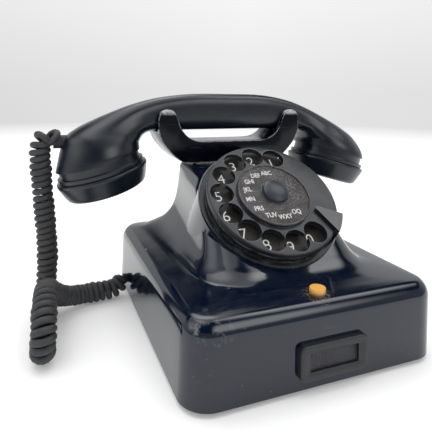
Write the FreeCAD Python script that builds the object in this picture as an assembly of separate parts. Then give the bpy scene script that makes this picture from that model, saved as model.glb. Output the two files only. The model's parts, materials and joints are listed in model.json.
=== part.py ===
"""Rotary-dial desk telephone with handset, cradle and curly handset cord.

Millimetres. The origin is on the desk, under the middle of the housing. +X is to the right as the
user sees the telephone, +Y to the back and +Z up. Each piece is one STEP file in parts/.
"""
import FreeCAD, Part
import math
import os

from FreeCAD import Placement, Rotation, Vector

# ---------------------------------------------------------------- driving dimensions
# housing shell
base_width = 135.0
base_depth = 160.4
base_bottom_z = 2.5
base_corner_radius = 14.0
wall_draft = 1.9  # degrees
wall_top_z = 32.3
edge_radius = 9.0
edge_turn = 60.0  # degrees that the rounded top edge turns from the wall
shell_wall = 3.0
lip_z = 41.5  # lower edge of the sloping front, just above the deck
foot_front_y = -57.0  # front of that lower edge
foot_corner_radius = 24.0
neck_top_z = 86.5
neck_half_width = 30.0
neck_rear_y = 61.5
neck_corner_radius = 14.0

# dial
dial_y = -24.4
dial_z = 77.35
dial_elevation = 51.2  # degrees of the dial's normal above the level
case_radius = 39.9
wheel_radius = case_radius - 2.4
wheel_thickness = 3.0
finger_hole_radius = 6.65
finger_hole_circle = wheel_radius - 8.0
finger_hole_count = 10
finger_hole_step = 360.0 / 14
first_hole_angle = 68.5  # degrees, counter-clockwise from +X as seen from the front
card_radius = finger_hole_circle - 9.3
card_pocket = 1.2
hub_rise = 2.2  # top of the wheel's middle boss above the wheel's face
hub_radius = card_radius + 0.9
card_thickness = 0.3
cover_thickness = 0.7
hub_knob_radius = 7.3
hub_knob_height = 3.2
plate_depth = 5.2  # number plate's face below the finger wheel's face
plate_thickness = 1.0
case_depth = 8.6  # seat of the dial case on the housing, below the wheel's face
case_cup_radius = case_radius - 2.7
case_wall = 1.2
plate_radius = case_cup_radius - 0.5
head_rim = 0.8  # how far the housing's round head stands out past the case
movement_depth = 24.0
dial_hole_clearance = 0.4
stop_angle = -36.0
stop_width_angle = 20.0
stop_tip_angle = -29.0
stop_reach_radius = finger_hole_circle - 4.5
stop_thickness = 1.2
stop_gap = 0.8
shaft_radius = 3.0
main_gear_teeth = 40
pulse_pinion_teeth = 10
gear_module = case_cup_radius * 0.672 / ((main_gear_teeth + pulse_pinion_teeth) / 2)
pulse_wheel_module = gear_module * 0.75
pulse_wheel_teeth = 21
governor_pinion_teeth = 12
gear_width = 2.0
tooth_head = 0.85  # in modules, above the pitch circle
tooth_foot = 1.15
tooth_tip_share = 0.09  # half width of a tooth's tip, as a share of the pitch
tooth_root_share = 0.285
gear_z = -13.0
bridge_z = -10.2
bridge_clearance = 2.5
pulse_shaft_angle = 200.0
governor_drum_radius = gear_module * 5.6
small_shaft_radius = 1.2
running_gap = 0.05

# cradle
cradle_y = 47.0
cradle_depth = 27.0
horn_thickness = 3.0
horn_centre_x = 43.5
horn_width = 12.6
horn_top_z = 122.5
saddle_z = 101.5
channel_floor_z = 108.0
cradle_foot_z = 88.0
cradle_foot_half_width = 33.0
cradle_travel = 5.0
plunger_radius = 3.5
plunger_length = 34.0
hook_collar_z = 74.0
hook_floor_z = 58.0

# handset
handle_top_z = 132.3
handle_bottom_z = 108.6
handle_depth = 20.0
cap_centre_x = 85.0
cap_centre_z = 91.0
cap_tilt = 16.0
body_rim_radius = 26.4
cap_groove_radius = 25.0
cap_band_radius = 26.8
cap_rim_radius = 28.3
cap_face_radius = 23.4
cap_depth = 20.5
cap_wall = 2.4
cap_bore_radius = 22.0
hollow_height = 12.0
section_count = 20
handle_squareness = 1.1
cap_hole_radius = 1.4
cap_hole_circle = 8.0
capsule_radius = 21.5
capsule_depth = 9.0

# button and card frame on the front
button_y = 10.2 - base_depth / 2
button_radius = 3.8
button_x = -0.6
button_top_z = 44.2
button_travel = 2.5
button_stem_radius = 2.2
button_spring_radius = button_stem_radius + 1.1
button_head_z = 34.0
button_spring_top_z = 29.5
button_spring_foot_z = 20.0
label_x = 2.0
label_z = 15.6
label_width = 36.4
label_height = 16.2
label_proud = 3.0
window_width = 26.0
window_height = 8.6
card_recess = 2.6
label_corner_radius = 3.0
label_rim_radius = 0.9
label_rim_width = 2.4  # raised rim, outside the bevel that falls to the window
label_bevel_depth = 0.7

# underside
plate_height = 2.2
fit_gap = 0.3
foot_radius = 7.0
foot_x = base_width / 2 - 23.5
foot_y = base_depth / 2 - 26.2
post_x = base_width / 2 - 13.0
post_y = base_depth / 2 - 14.2
post_radius = 4.5
screw_radius = 1.3
screw_head_radius = 3.0
screw_head_height = 1.3
screw_length = 10.0

# bell set
gong_radius = 21.5
gong_height = 10.0
gong_wall = 1.2
gong_x = base_width / 2 - 38.5
gong_y = base_depth / 2 - 34.2
gong_rim_z = 22.0
clapper_pivot_y = gong_y - 27.5
clapper_ball_radius = 3.2
bell_coil_radius = 7.5
bell_coil_length = 22.0
bell_coil_x = 11.0
bell_axis_z = 20.0

# cords
coil_diameter = 12.6
cord_rest_z = 6.5
loop_step = 6.4  # length of the short runs that turn the slack cord back on itself
gland_radius = 2.9
gland_stem_radius = 2.0
gland_reach = 2.6
gland_y = base_depth / 2 - 31.4
gland_z = 11.0
handset_gland_radius = 4.0
handset_gland_face = Vector(-111.2, cradle_y, 102.5)
grommet_x = 24.0
grommet_z = 10.0
grommet_radius = 5.5
grommet_stem_radius = 4.0
grommet_bore_radius = 3.0
grommet_proud = 1.8

UP = Vector(0, 0, 1)


# ---------------------------------------------------------------- geometry helpers
def rounded_outline(corners, radii, z):
    """Closed wire at height z through (x, y) corners, each rounded by its radius."""
    count = len(corners)
    starts, ends, mids = [], [], []
    for i, (x, y) in enumerate(corners):
        here = Vector(x, y, z)
        back = Vector(*corners[i - 1], z).sub(here).normalize()
        ahead = Vector(*corners[(i + 1) % count], z).sub(here).normalize()
        half = back.getAngle(ahead) / 2
        run = radii[i] / math.tan(half)
        middle = (back + ahead).normalize()
        starts.append(here + back * run)
        ends.append(here + ahead * run)
        mids.append(here + middle * (radii[i] / math.sin(half) - radii[i]))
    edges = []
    for i in range(count):
        edges.append(Part.Arc(starts[i], mids[i], ends[i]).toShape())
        edges.append(Part.LineSegment(ends[i], starts[(i + 1) % count]).toShape())
    return Part.Wire(edges)


def rectangle_outline(half_x, front_y, rear_y, radius, z):
    corners = [(half_x, front_y), (half_x, rear_y), (-half_x, rear_y), (-half_x, front_y)]
    return rounded_outline(corners, [radius] * 4, z)


def stack(wires):
    """Solid through a stack of matching outlines."""
    return Part.makeLoft(wires, True, True)


def rod(radius, start, end):
    """Round bar between two points."""
    along = end.sub(start)
    return Part.makeCylinder(radius, along.Length, start, along)


def box_between(x0, x1, y0, y1, z0, z1):
    return Part.makeBox(x1 - x0, y1 - y0, z1 - z0, Vector(x0, y0, z0))


def revolved(points):
    """Full turn of a closed (radius, height) profile about the Z axis."""
    corners = [Vector(r, 0, h) for r, h in points]
    face = Part.Face(Part.makePolygon(corners + corners[:1]))
    return face.revolve(Vector(), UP, 360)


def fused(first, *others):
    return first.multiFuse(list(others)).removeSplitter() if others else first


def polar(radius, degrees, z=0.0):
    return Vector(radius * math.cos(math.radians(degrees)), radius * math.sin(math.radians(degrees)), z)


def leaned(shape, elevation, origin):
    """Places a piece made about +Z so that its axis points forward and up at that elevation."""
    placed = shape.copy()
    lean = Placement(origin, Rotation(Vector(1, 0, 0), 90 - elevation))
    placed.Placement = lean.multiply(shape.Placement)
    return placed


def helix_spring(radius, wire_radius, height, turns, base):
    """Compression spring standing on base."""
    path = Part.makeHelix(height / turns, height, radius)
    profile = Part.Wire(Part.makeCircle(wire_radius, Vector(radius, 0, 0), Vector(0, 1, 0)))
    spring = Part.Wire(path.Edges).makePipeShell([profile], True, True)
    spring.translate(base)
    return spring


# ---------------------------------------------------------------- housing
dial_origin = Vector(0, dial_y, dial_z)
label_origin_y = -base_depth / 2 + math.tan(math.radians(wall_draft)) * (label_z - base_bottom_z)
label_origin = Vector(label_x, label_origin_y, label_z)


def on_dial(shape):
    return leaned(shape, dial_elevation, dial_origin)


def on_front_wall(shape):
    return leaned(shape, wall_draft, label_origin)


def block_levels():
    """(height, inset) of the drafted wall and of the rounded edge above it."""
    draft = math.tan(math.radians(wall_draft))
    levels = [(base_bottom_z, 0.0), (wall_top_z, draft * (wall_top_z - base_bottom_z))]
    steps = 6
    for i in range(1, steps + 1):
        turn = math.radians(edge_turn * i / steps)
        inset = levels[1][1] + edge_radius * (1 - math.cos(turn))
        levels.append((wall_top_z + edge_radius * math.sin(turn), inset))
    return levels


def block(inward):
    """Lower block of the housing, or its inner form when inward is the wall."""
    wires = []
    for height, inset in block_levels():
        step = inset + inward
        wires.append(
            rectangle_outline(
                base_width / 2 - step,
                -base_depth / 2 + step,
                base_depth / 2 - step,
                base_corner_radius - min(step, base_corner_radius - 4),
                height - inward,
            )
        )
    return stack(wires)


def seat_y(height):
    """Depth of the sloping front at this height."""
    slope = math.tan(math.radians(dial_elevation))
    seat_origin_y = dial_y + case_depth * math.cos(math.radians(dial_elevation))
    seat_origin_z = dial_z - case_depth * math.sin(math.radians(dial_elevation))
    return seat_origin_y + (height - seat_origin_z) * slope


def slope_levels():
    """(height, half width at the rear and front, front y, rear y, rear and front corner radius)."""
    crease_z, crease_inset = block_levels()[-1]
    half = base_width / 2 - crease_inset
    depth = base_depth / 2 - crease_inset
    neck = neck_half_width
    rear = neck_rear_y
    round_ = neck_corner_radius
    head = case_radius + head_rim
    return [
        (crease_z - 1.5, half + 1.2, half + 1.2, -depth - 1.2, depth + 1.2, 9.0, 9.0),
        (crease_z, half - 0.8, half - 1.4, 0.8 - depth, depth - 0.8, 9.0, 9.0),
        (crease_z + 1.0, half - 3.6, half - 8.0, 6.9 - depth, depth - 2.6, 10.0, 16.0),
        (crease_z + 1.8, half - 6.2, head + 6.3, foot_front_y, depth - 4.2, 11.0, foot_corner_radius),
        (44.6, neck + 18.8, head + 5.3, seat_y(44.6), rear + 7.0, 13.0, foot_corner_radius - 1.0),
        (48.4, neck + 12.0, head + 3.5, seat_y(48.4), rear + 4.2, round_, 19.0),
        (52.0, neck + 8.2, head + 2.2, seat_y(52.0), rear + 2.8, round_, 16.0),
        (56.0, neck + 5.4, head + 1.3, seat_y(56.0), rear + 1.8, round_, 12.0),
        (61.0, neck + 3.3, head + 0.5, seat_y(61.0), rear + 1.0, round_, 8.0),
        (67.0, neck + 1.8, head - 0.2, seat_y(67.0), rear + 0.5, round_, 4.5),
        (75.0, neck + 0.6, head - 1.5, seat_y(75.0), rear + 0.1, round_, 3.0),
        (80.0, neck + 0.2, head - 3.5, seat_y(80.0), rear, round_, 3.0),
        (neck_top_z, neck, neck + 0.6, seat_y(neck_top_z), rear, round_, 3.0),
    ]


def slopes(inward):
    """Deck, cove and neck above the block."""
    wires = []
    for height, half_rear, half_front, front_y, rear_y, rear_round, front_round in slope_levels():
        right = [(half_front - inward, front_y + inward), (half_rear - inward, rear_y - inward)]
        corners = right + [(-x, y) for x, y in reversed(right)]
        radii = [max(radius - inward, 2.5) for radius in (front_round, rear_round, rear_round, front_round)]
        wires.append(rounded_outline(corners, radii, height - inward))
    return stack(wires)


def dial_head():
    """Round head behind the dial."""
    return on_dial(Part.makeCylinder(case_radius + head_rim, 44.0, Vector(0, 0, -case_depth - 44.0)))


def above_dial_seat():
    """Everything above the deck and in front of the plane that the dial case sits on."""
    ahead = on_dial(Part.makeBox(240, 240, 120, Vector(-120, -120, -case_depth)))
    return ahead.common(box_between(-120, 120, -120, 120, lip_z, 200))


def post_places():
    return [(sx * post_x, sy * post_y) for sx in (-1, 1) for sy in (-1, 1)]


def housing():
    outer = fused(block(0.0), slopes(0.0), dial_head()).cut(above_dial_seat())
    inner = fused(block(shell_wall), slopes(shell_wall))
    ahead = above_dial_seat()
    ahead.translate(Vector(0, shell_wall, -shell_wall))
    shell = outer.cut(inner.cut(ahead))
    posts = []
    for x, y in post_places():
        foot = Vector(x, y, base_bottom_z + plate_height)
        posts.append(Part.makeCylinder(post_radius, wall_top_z + 5.0 - foot.z, foot))
    shell = fused(shell, *posts)
    hole_radius = case_cup_radius + dial_hole_clearance
    cuts = [on_dial(Part.makeCylinder(hole_radius, 60.0, Vector(0, 0, -case_depth - 40.0)))]
    for x, y in post_places():
        cuts.append(Part.makeCylinder(screw_radius, screw_length + 2, Vector(x, y, base_bottom_z)))
    plunger_hole = Vector(0, cradle_y, neck_top_z - 8)
    cuts.append(Part.makeCylinder(plunger_radius + running_gap, 12, plunger_hole))
    button_hole = Vector(button_x, button_y, wall_top_z + 0.7)
    cuts.append(Part.makeCylinder(button_radius + running_gap, 15, button_hole))
    gland = Vector(-base_width / 2, gland_y, gland_z)
    cuts.append(rod(gland_stem_radius, gland - Vector(4, 0, 0), gland + Vector(6, 0, 0)))
    grommet = Vector(grommet_x, base_depth / 2, grommet_z)
    cuts.append(rod(grommet_stem_radius, grommet - Vector(0, 6, 0), grommet + Vector(0, 4, 0)))
    return shell.cut(cuts[0].multiFuse(cuts[1:]))


def base_plate():
    step = shell_wall + fit_gap + 0.1
    half_x, half_y = base_width / 2 - step, base_depth / 2 - step
    outline = rectangle_outline(half_x, -half_y, half_y, base_corner_radius - step, base_bottom_z)
    plate = Part.Face(outline).extrude(Vector(0, 0, plate_height))
    holes = []
    for x, y in post_places():
        holes.append(Part.makeCylinder(screw_radius + 0.2, 10, Vector(x, y, 0)))
    return plate.cut(holes[0].multiFuse(holes[1:]))


def rubber_feet():
    feet = []
    for sx in (-1, 1):
        for sy in (-1, 1):
            place = Vector(sx * foot_x, sy * foot_y, 0)
            feet.append(Part.makeCone(foot_radius - 0.6, foot_radius, base_bottom_z, place))
    return Part.makeCompound(feet)


def base_screws():
    screws = []
    for x, y in post_places():
        low = base_bottom_z - screw_head_height
        head = Part.makeCylinder(screw_head_radius, screw_head_height, Vector(x, y, low))
        shank = Part.makeCylinder(screw_radius, screw_length, Vector(x, y, base_bottom_z))
        slot = box_between(x - 4, x + 4, y - 0.4, y + 0.4, 0, low + 0.6)
        screws.append(fused(head, shank).cut(slot))
    return Part.makeCompound(screws)


# ---------------------------------------------------------------- card frame and button
def centred_rectangle(width, height, z):
    half_x, half_y = width / 2, height / 2
    signs = [(1, -1), (1, 1), (-1, 1), (-1, -1), (1, -1)]
    return Part.makePolygon([Vector(sx * half_x, sy * half_y, z) for sx, sy in signs])


def label_frame():
    """Frame with a rounded rim, from which a bevel falls to the window."""
    outline = rectangle_outline(label_width / 2, -label_height / 2, label_height / 2, label_corner_radius, 0)
    outer = Part.Face(outline).extrude(Vector(0, 0, label_proud))
    rims = [edge for edge in outer.Edges if edge.CenterOfMass.z > label_proud - 0.01]
    outer = outer.makeFillet(label_rim_radius, rims)
    window = Part.Face(centred_rectangle(window_width, window_height, label_proud - card_recess))
    window = window.extrude(Vector(0, 0, card_recess + 1))
    foot = centred_rectangle(window_width, window_height, label_proud - label_bevel_depth)
    rim_inner = [size - 2 * label_rim_width for size in (label_width, label_height)]
    bevel = stack([foot, centred_rectangle(*rim_inner, label_proud)])
    return on_front_wall(outer.cut(window.multiFuse([bevel])))


def pane(z, thickness):
    """Thin sheet that fills the window of the card frame."""
    width = window_width - 0.2
    height = window_height - 0.2
    return on_front_wall(Part.makeBox(width, height, thickness, Vector(-width / 2, -height / 2, z)))


def label_card():
    return pane(label_proud - card_recess, card_thickness)


def label_window():
    return pane(label_proud - card_recess + card_thickness, 0.5)


def push_button():
    seat = Vector(button_x, button_y, button_head_z)
    head = Part.makeCylinder(button_radius, button_top_z - button_head_z, seat)
    top = [edge for edge in head.Edges if edge.CenterOfMass.z > button_top_z - 0.01]
    head = head.makeFillet(0.4, top)
    stem = Part.makeCylinder(button_stem_radius, button_head_z - 13.0, Vector(button_x, button_y, 13.0))
    collar = Part.makeCylinder(button_radius + 0.6, 1.5, Vector(button_x, button_y, button_spring_top_z))
    return fused(head, stem, collar)


def button_guide():
    foot_z = base_bottom_z + plate_height
    left, right = button_x - 8, button_x + 8
    block_ = box_between(left, right, button_y - 5.5, button_y + 5.5, foot_z, button_spring_foot_z)
    bore = Part.makeCylinder(button_stem_radius + running_gap, 30, Vector(button_x, button_y, foot_z + 3))
    return block_.cut(bore)


def button_spring():
    height = button_spring_top_z - button_spring_foot_z
    base = Vector(button_x, button_y, button_spring_foot_z + 0.4)
    return helix_spring(button_spring_radius, 0.4, height - 0.8, 4.5, base)


def button_contact():
    """Two leaves on a small block beside the guide."""
    foot_z = base_bottom_z + plate_height
    stand = box_between(9, 17, button_y - 3, button_y + 3, foot_z, foot_z + 8)
    leaves = []
    for k in range(2):
        z = foot_z + 8 + 2.0 * k
        leaves.append(box_between(9, 17, button_y - 2.5, button_y + 2.5, z, z + 0.4))
        leaves.append(box_between(12, 17, button_y - 3, button_y + 3, z + 0.4, z + 2.0))
    return fused(stand, *leaves)


# ---------------------------------------------------------------- dial
def finger_hole_angles():
    return [first_hole_angle + finger_hole_step * k for k in range(finger_hole_count)]


def card_floor():
    """Height of the pocket in the wheel's middle boss that the card lies in."""
    return hub_rise - card_pocket


def wheel_boss():
    """Raised middle of the wheel, with a bevelled rim and a pocket for the card."""
    profile = [
        (shaft_radius, -1.0),
        (hub_radius, -1.0),
        (hub_radius, hub_rise - 0.5),
        (hub_radius - 0.4, hub_rise),
        (card_radius + 0.1, hub_rise),
        (card_radius + 0.1, card_floor()),
        (shaft_radius, card_floor()),
    ]
    return revolved(profile)


def finger_wheel():
    wheel = Part.makeCylinder(wheel_radius, wheel_thickness, Vector(0, 0, -wheel_thickness))
    holes = [Part.makeCylinder(shaft_radius, 8, Vector(0, 0, -6))]
    for degrees in finger_hole_angles():
        holes.append(Part.makeCylinder(finger_hole_radius, 8, polar(finger_hole_circle, degrees, -6)))
    wheel = wheel.cut(holes[0].multiFuse(holes[1:]))
    rims = []
    for edge in wheel.Edges:
        if edge.CenterOfMass.z > -0.01 and edge.Length > 30 and edge.Curve.Radius > shaft_radius + 1:
            rims.append(edge)
    wheel = wheel.makeFillet(0.8, rims)
    return on_dial(wheel.fuse(wheel_boss()).removeSplitter())


def dial_card():
    low, high = card_floor(), card_floor() + card_thickness
    profile = [(shaft_radius, low), (card_radius, low), (card_radius, high), (shaft_radius, high)]
    return on_dial(revolved(profile))


def dial_cover():
    foot = card_floor() + card_thickness
    rim = foot + cover_thickness
    crown = rim + 1.0
    profile = [
        (shaft_radius, foot),
        (card_radius, foot),
        (card_radius, rim),
        (card_radius - 4.0, rim + 0.45),
        (card_radius - 9.0, rim + 0.85),
        (hub_knob_radius, crown),
        (shaft_radius, crown),
    ]
    return on_dial(revolved(profile))


def knob_seat_z():
    return card_floor() + card_thickness + cover_thickness + 1.0


def hub_knob():
    foot = knob_seat_z()
    points = [(0, foot), (hub_knob_radius, foot), (hub_knob_radius, foot + 1.2)]
    steps = 6
    for i in range(1, steps + 1):
        turn = math.radians(90.0 * i / steps)
        rise = (hub_knob_height - 1.2) * math.sin(turn)
        points.append((hub_knob_radius * math.cos(turn), foot + 1.2 + rise))
    points[-1] = (0, foot + hub_knob_height)
    knob = revolved(points)
    bore = Part.makeCylinder(shaft_radius, 2.0, Vector(0, 0, foot))
    return on_dial(knob.cut(bore))


def number_plate():
    high = -plate_depth
    low = high - plate_thickness
    return on_dial(revolved([(6.0, low), (plate_radius, low), (plate_radius, high), (6.0, high)]))


def dial_case():
    """Cup of the dial with a flange that lies on the housing and a lip that holds the back plate."""
    low = -plate_depth - plate_thickness
    bore = case_cup_radius - case_wall
    profile = [
        (case_cup_radius, -movement_depth - 0.8),
        (case_cup_radius, -case_depth),
        (case_radius, -case_depth),
        (case_radius, -case_depth + 0.8),
        (case_radius - 0.5, -case_depth + 1.2),
        (case_cup_radius, -case_depth + 1.4),
        (case_cup_radius, low),
        (bore, low),
        (bore, -movement_depth),
        (bore - 3.0, -movement_depth),
        (bore - 3.0, -movement_depth - 0.8),
    ]
    return on_dial(revolved(profile))


def finger_stop():
    """Bent strip: it stands on the flange, folds over the wheel and tapers to a tip."""
    outer = case_radius - 0.4
    inner = outer - stop_thickness
    foot = -case_depth + 1.4
    tongue_z = stop_gap
    upright = Part.makeCylinder(outer, tongue_z - foot, Vector(0, 0, foot), UP, stop_width_angle)
    upright = upright.cut(Part.makeCylinder(inner, tongue_z - foot + 2, Vector(0, 0, foot - 1)))
    upright.rotate(Vector(), UP, stop_angle - stop_width_angle / 2)
    start = polar(outer, stop_angle + stop_width_angle / 2, tongue_z)
    end = polar(outer, stop_angle - stop_width_angle / 2, tongue_z)
    rim = Part.Arc(start, polar(outer, stop_angle, tongue_z), end).toShape()
    tip_low = polar(stop_reach_radius, stop_tip_angle - 3.0, tongue_z)
    tip_high = polar(stop_reach_radius, stop_tip_angle + 3.0, tongue_z)
    tip_end = polar(stop_reach_radius - 1.2, stop_tip_angle, tongue_z)
    edges = [
        rim,
        Part.LineSegment(end, tip_low).toShape(),
        Part.Arc(tip_low, tip_end, tip_high).toShape(),
        Part.LineSegment(tip_high, start).toShape(),
    ]
    tongue = Part.Face(Part.Wire(edges)).extrude(Vector(0, 0, stop_thickness))
    return on_dial(fused(upright, tongue))


# ---------------------------------------------------------------- dial movement
def gear(teeth, module, width, tooth_angle, foot_z):
    """Spur gear with straight-sided teeth; one tooth is centred on tooth_angle."""
    pitch = 360.0 / teeth
    root = module * (teeth / 2 - tooth_foot)
    tip = module * (teeth / 2 + tooth_head)
    corners = []
    for k in range(teeth):
        middle = tooth_angle + k * pitch
        corners.append(polar(root, middle - tooth_root_share * pitch, foot_z))
        corners.append(polar(tip, middle - tooth_tip_share * pitch, foot_z))
        corners.append(polar(tip, middle + tooth_tip_share * pitch, foot_z))
        corners.append(polar(root, middle + tooth_root_share * pitch, foot_z))
    face = Part.Face(Part.makePolygon(corners + corners[:1]))
    return face.extrude(Vector(0, 0, width))


def pulse_place():
    return polar(gear_module * (main_gear_teeth + pulse_pinion_teeth) / 2, pulse_shaft_angle)


def governor_step():
    """Distance between the pulse shaft and the governor shaft."""
    return pulse_wheel_module * (pulse_wheel_teeth + governor_pinion_teeth) / 2


def governor_turn():
    """Angle at the dial shaft between the pulse shaft and the governor shaft."""
    return 2 * math.degrees(math.asin(governor_step() / 2 / pulse_place().Length))


def governor_place():
    return polar(pulse_place().Length, pulse_shaft_angle + governor_turn())


def governor_direction():
    """Direction from the pulse shaft to the governor shaft."""
    return pulse_shaft_angle + 90 + governor_turn() / 2


def main_gear():
    wheel = gear(main_gear_teeth, gear_module, gear_width, pulse_shaft_angle, gear_z)
    windows = [Part.makeCylinder(shaft_radius, 10, Vector(0, 0, gear_z - 4))]
    for k in range(5):
        place = polar(gear_module * 11.5, 72 * k, gear_z - 4)
        windows.append(Part.makeCylinder(gear_module * 4.2, 10, place))
    return on_dial(wheel.cut(windows[0].multiFuse(windows[1:])))


def dial_shaft():
    low = -movement_depth + 1.5
    shaft = Part.makeCylinder(shaft_radius, knob_seat_z() + 2.0 - low - 0.6, Vector(0, 0, low + 0.6))
    pivot = Part.makeCylinder(1.5, 1.6, Vector(0, 0, low - 1.0))
    return on_dial(fused(shaft, pivot))


def spindle():
    """Small shaft between the back plate and the bridge."""
    low = -movement_depth + 0.3
    return Part.makeCylinder(small_shaft_radius, bridge_z + 0.8 - low, Vector(0, 0, low))


def pulse_wheel():
    half_tooth = 180 / pulse_pinion_teeth
    tooth_angle = pulse_shaft_angle + 180 + half_tooth
    pinion = gear(pulse_pinion_teeth, gear_module, gear_width + 1.0, tooth_angle, gear_z - 0.5)
    wheel_z = gear_z - 3.0
    wheel = gear(pulse_wheel_teeth, pulse_wheel_module, 1.5, governor_direction(), wheel_z)
    hub = Part.makeCylinder(3.0, gear_z - 0.5 - wheel_z - 1.5, Vector(0, 0, wheel_z + 1.5))
    cam = Part.makeCylinder(3.6, 2.0, Vector(0, 0, wheel_z - 2.0))
    cam = cam.common(box_between(-2.4, 2.4, -5, 5, wheel_z - 3, wheel_z))
    shape = fused(pinion, wheel, hub, cam, spindle())
    shape.translate(pulse_place())
    return on_dial(shape)


def governor():
    wheel_z = gear_z - 3.0
    half_tooth = 180 / governor_pinion_teeth
    tooth_angle = governor_direction() + 180 + half_tooth
    pinion = gear(governor_pinion_teeth, pulse_wheel_module, 2.0, tooth_angle, wheel_z - 0.2)
    drum = Part.makeCylinder(governor_drum_radius, 4.0, Vector(0, 0, wheel_z - 5.0))
    drum = drum.cut(Part.makeCylinder(governor_drum_radius - 1.0, 3.0, Vector(0, 0, wheel_z - 6.0)))
    shape = fused(pinion, drum, spindle())
    shape.translate(governor_place())
    return on_dial(shape)


def dial_back_plate():
    low = -movement_depth
    plate = Part.makeCylinder(case_cup_radius - case_wall - 0.05, 1.5, Vector(0, 0, low))
    holes = [Part.makeCylinder(1.5 + running_gap, 4, Vector(0, 0, low - 1))]
    for place in (pulse_place(), governor_place()):
        holes.append(Part.makeCylinder(small_shaft_radius + running_gap, 4, place + Vector(0, 0, low - 1)))
    pillar_circle = case_cup_radius - case_wall - 5.0
    pillars = []
    for degrees in (20, 80, 140, 290):
        pillars.append(Part.makeCylinder(2.0, bridge_z - low - 1.5, polar(pillar_circle, degrees, low + 1.5)))
    return on_dial(fused(plate, *pillars).cut(holes[0].multiFuse(holes[1:])))


def movement_bridge():
    plate = Part.makeCylinder(case_cup_radius - case_wall - bridge_clearance, 1.2, Vector(0, 0, bridge_z))
    holes = [Part.makeCylinder(shaft_radius + running_gap, 4, Vector(0, 0, bridge_z - 1))]
    for place in (pulse_place(), governor_place()):
        holes.append(Part.makeCylinder(small_shaft_radius + running_gap, 4, place + Vector(0, 0, bridge_z - 1)))
    return on_dial(plate.cut(holes[0].multiFuse(holes[1:])))


def mainspring_case():
    low = -movement_depth + 1.5
    high = gear_z - 0.8
    profile = [
        (shaft_radius + 0.3, high),
        (12.0, high),
        (12.0, low),
        (11.0, low),
        (11.0, high - 1.0),
        (shaft_radius + 0.3, high - 1.0),
    ]
    return on_dial(revolved(profile))


def pulse_contacts():
    """Insulating block with two leaves that lie beside the cam of the pulse wheel."""
    low = -movement_depth + 1.5
    block_ = box_between(-4, 4, -2.0, 2.0, low, low + 5)
    leaves = []
    for k in (-1, 1):
        leaves.append(box_between(-14, -4, k * 1.2 - 0.15, k * 1.2 + 0.15, low + 1.5, low + 4))
    shape = fused(block_, *leaves)
    shape.rotate(Vector(), UP, 105)
    shape.translate(polar(case_cup_radius - 8.7, 160))
    return on_dial(shape)


# ---------------------------------------------------------------- cradle
def fork_outline(y):
    """Outline of one horned plate of the cradle, in the plane at y."""
    foot = cradle_foot_half_width
    outer = horn_centre_x + horn_width / 2
    inner = horn_centre_x - horn_width / 2
    right = [
        (foot, cradle_foot_z),
        (foot + 2.4, cradle_foot_z + 1.4),
        (foot + 7.6, cradle_foot_z + 5.4),
        (outer - 3.0, saddle_z - 0.8),
        (outer, saddle_z + 6.0),
        (outer + 0.2, horn_top_z - 6.0),
        (outer - 1.4, horn_top_z - 1.8),
        (horn_centre_x + 1.0, horn_top_z),
        (horn_centre_x - 3.4, horn_top_z - 0.9),
        (inner + 0.4, horn_top_z - 5.6),
        (inner - 1.6, saddle_z + 9.0),
        (inner - 5.6, saddle_z + 3.8),
        (inner - 11.6, saddle_z + 0.6),
        (inner - 18.0, saddle_z),
    ]
    outline = [Vector(x, y, z) for x, z in right]
    outline += [Vector(-x, y, z) for x, z in reversed(right)]
    return Part.makePolygon(outline + outline[:1])


def cradle_fork():
    front = cradle_y - cradle_depth / 2
    face = Part.Face(fork_outline(front))
    whole = face.extrude(Vector(0, cradle_depth, 0))
    rear = front + cradle_depth
    channel = box_between(-80, 80, front + horn_thickness, rear - horn_thickness, channel_floor_z, 200)
    low_z = cradle_foot_z - plunger_length
    plunger = Part.makeCylinder(plunger_radius, plunger_length, Vector(0, cradle_y, low_z))
    collar = Part.makeCylinder(6.5, 2.0, Vector(0, cradle_y, hook_collar_z))
    tip = Part.makeCylinder(2.0, 4.0, Vector(0, cradle_y, low_z - 4.0))
    return fused(whole.cut(channel), plunger, collar, tip)


def hook_bracket():
    """Frame that hangs under the roof of the neck and guides the plunger."""
    roof = neck_top_z - shell_wall
    floor_z = hook_floor_z
    sides = []
    for sx in (-1, 1):
        x0, x1 = sorted((sx * 10.0, sx * 11.5))
        sides.append(box_between(x0, x1, cradle_y - 7, cradle_y + 7, floor_z - 1.5, roof))
    floor_ = box_between(-11.5, 11.5, cradle_y - 7, cradle_y + 7, floor_z - 1.5, floor_z)
    hole = Part.makeCylinder(plunger_radius + running_gap, 6, Vector(0, cradle_y, floor_z - 4))
    return fused(floor_, *sides).cut(hole)


def hook_spring():
    height = hook_collar_z - hook_floor_z
    return helix_spring(5.2, 0.5, height - 1.0, 5.5, Vector(0, cradle_y, hook_floor_z + 0.5))


def hook_contacts():
    """Stack of contact leaves between insulators on the side of the bracket."""
    top = hook_floor_z + 9
    blocks = []
    for k in range(4):
        x = 11.5 + 1.6 * k
        blocks.append(box_between(x, x + 1.2, cradle_y - 4, cradle_y + 4, hook_floor_z + 2, top))
    leaves = []
    for k in range(3):
        x = 12.7 + 1.6 * k
        leaves.append(box_between(x, x + 0.4, cradle_y - 2.5, cradle_y + 2.5, hook_floor_z - 6, top))
    return fused(blocks[0], *blocks[1:], *leaves)


# ---------------------------------------------------------------- bell set
def gong_places():
    return [Vector(sx * gong_x, gong_y, 0) for sx in (-1, 1)]


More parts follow.
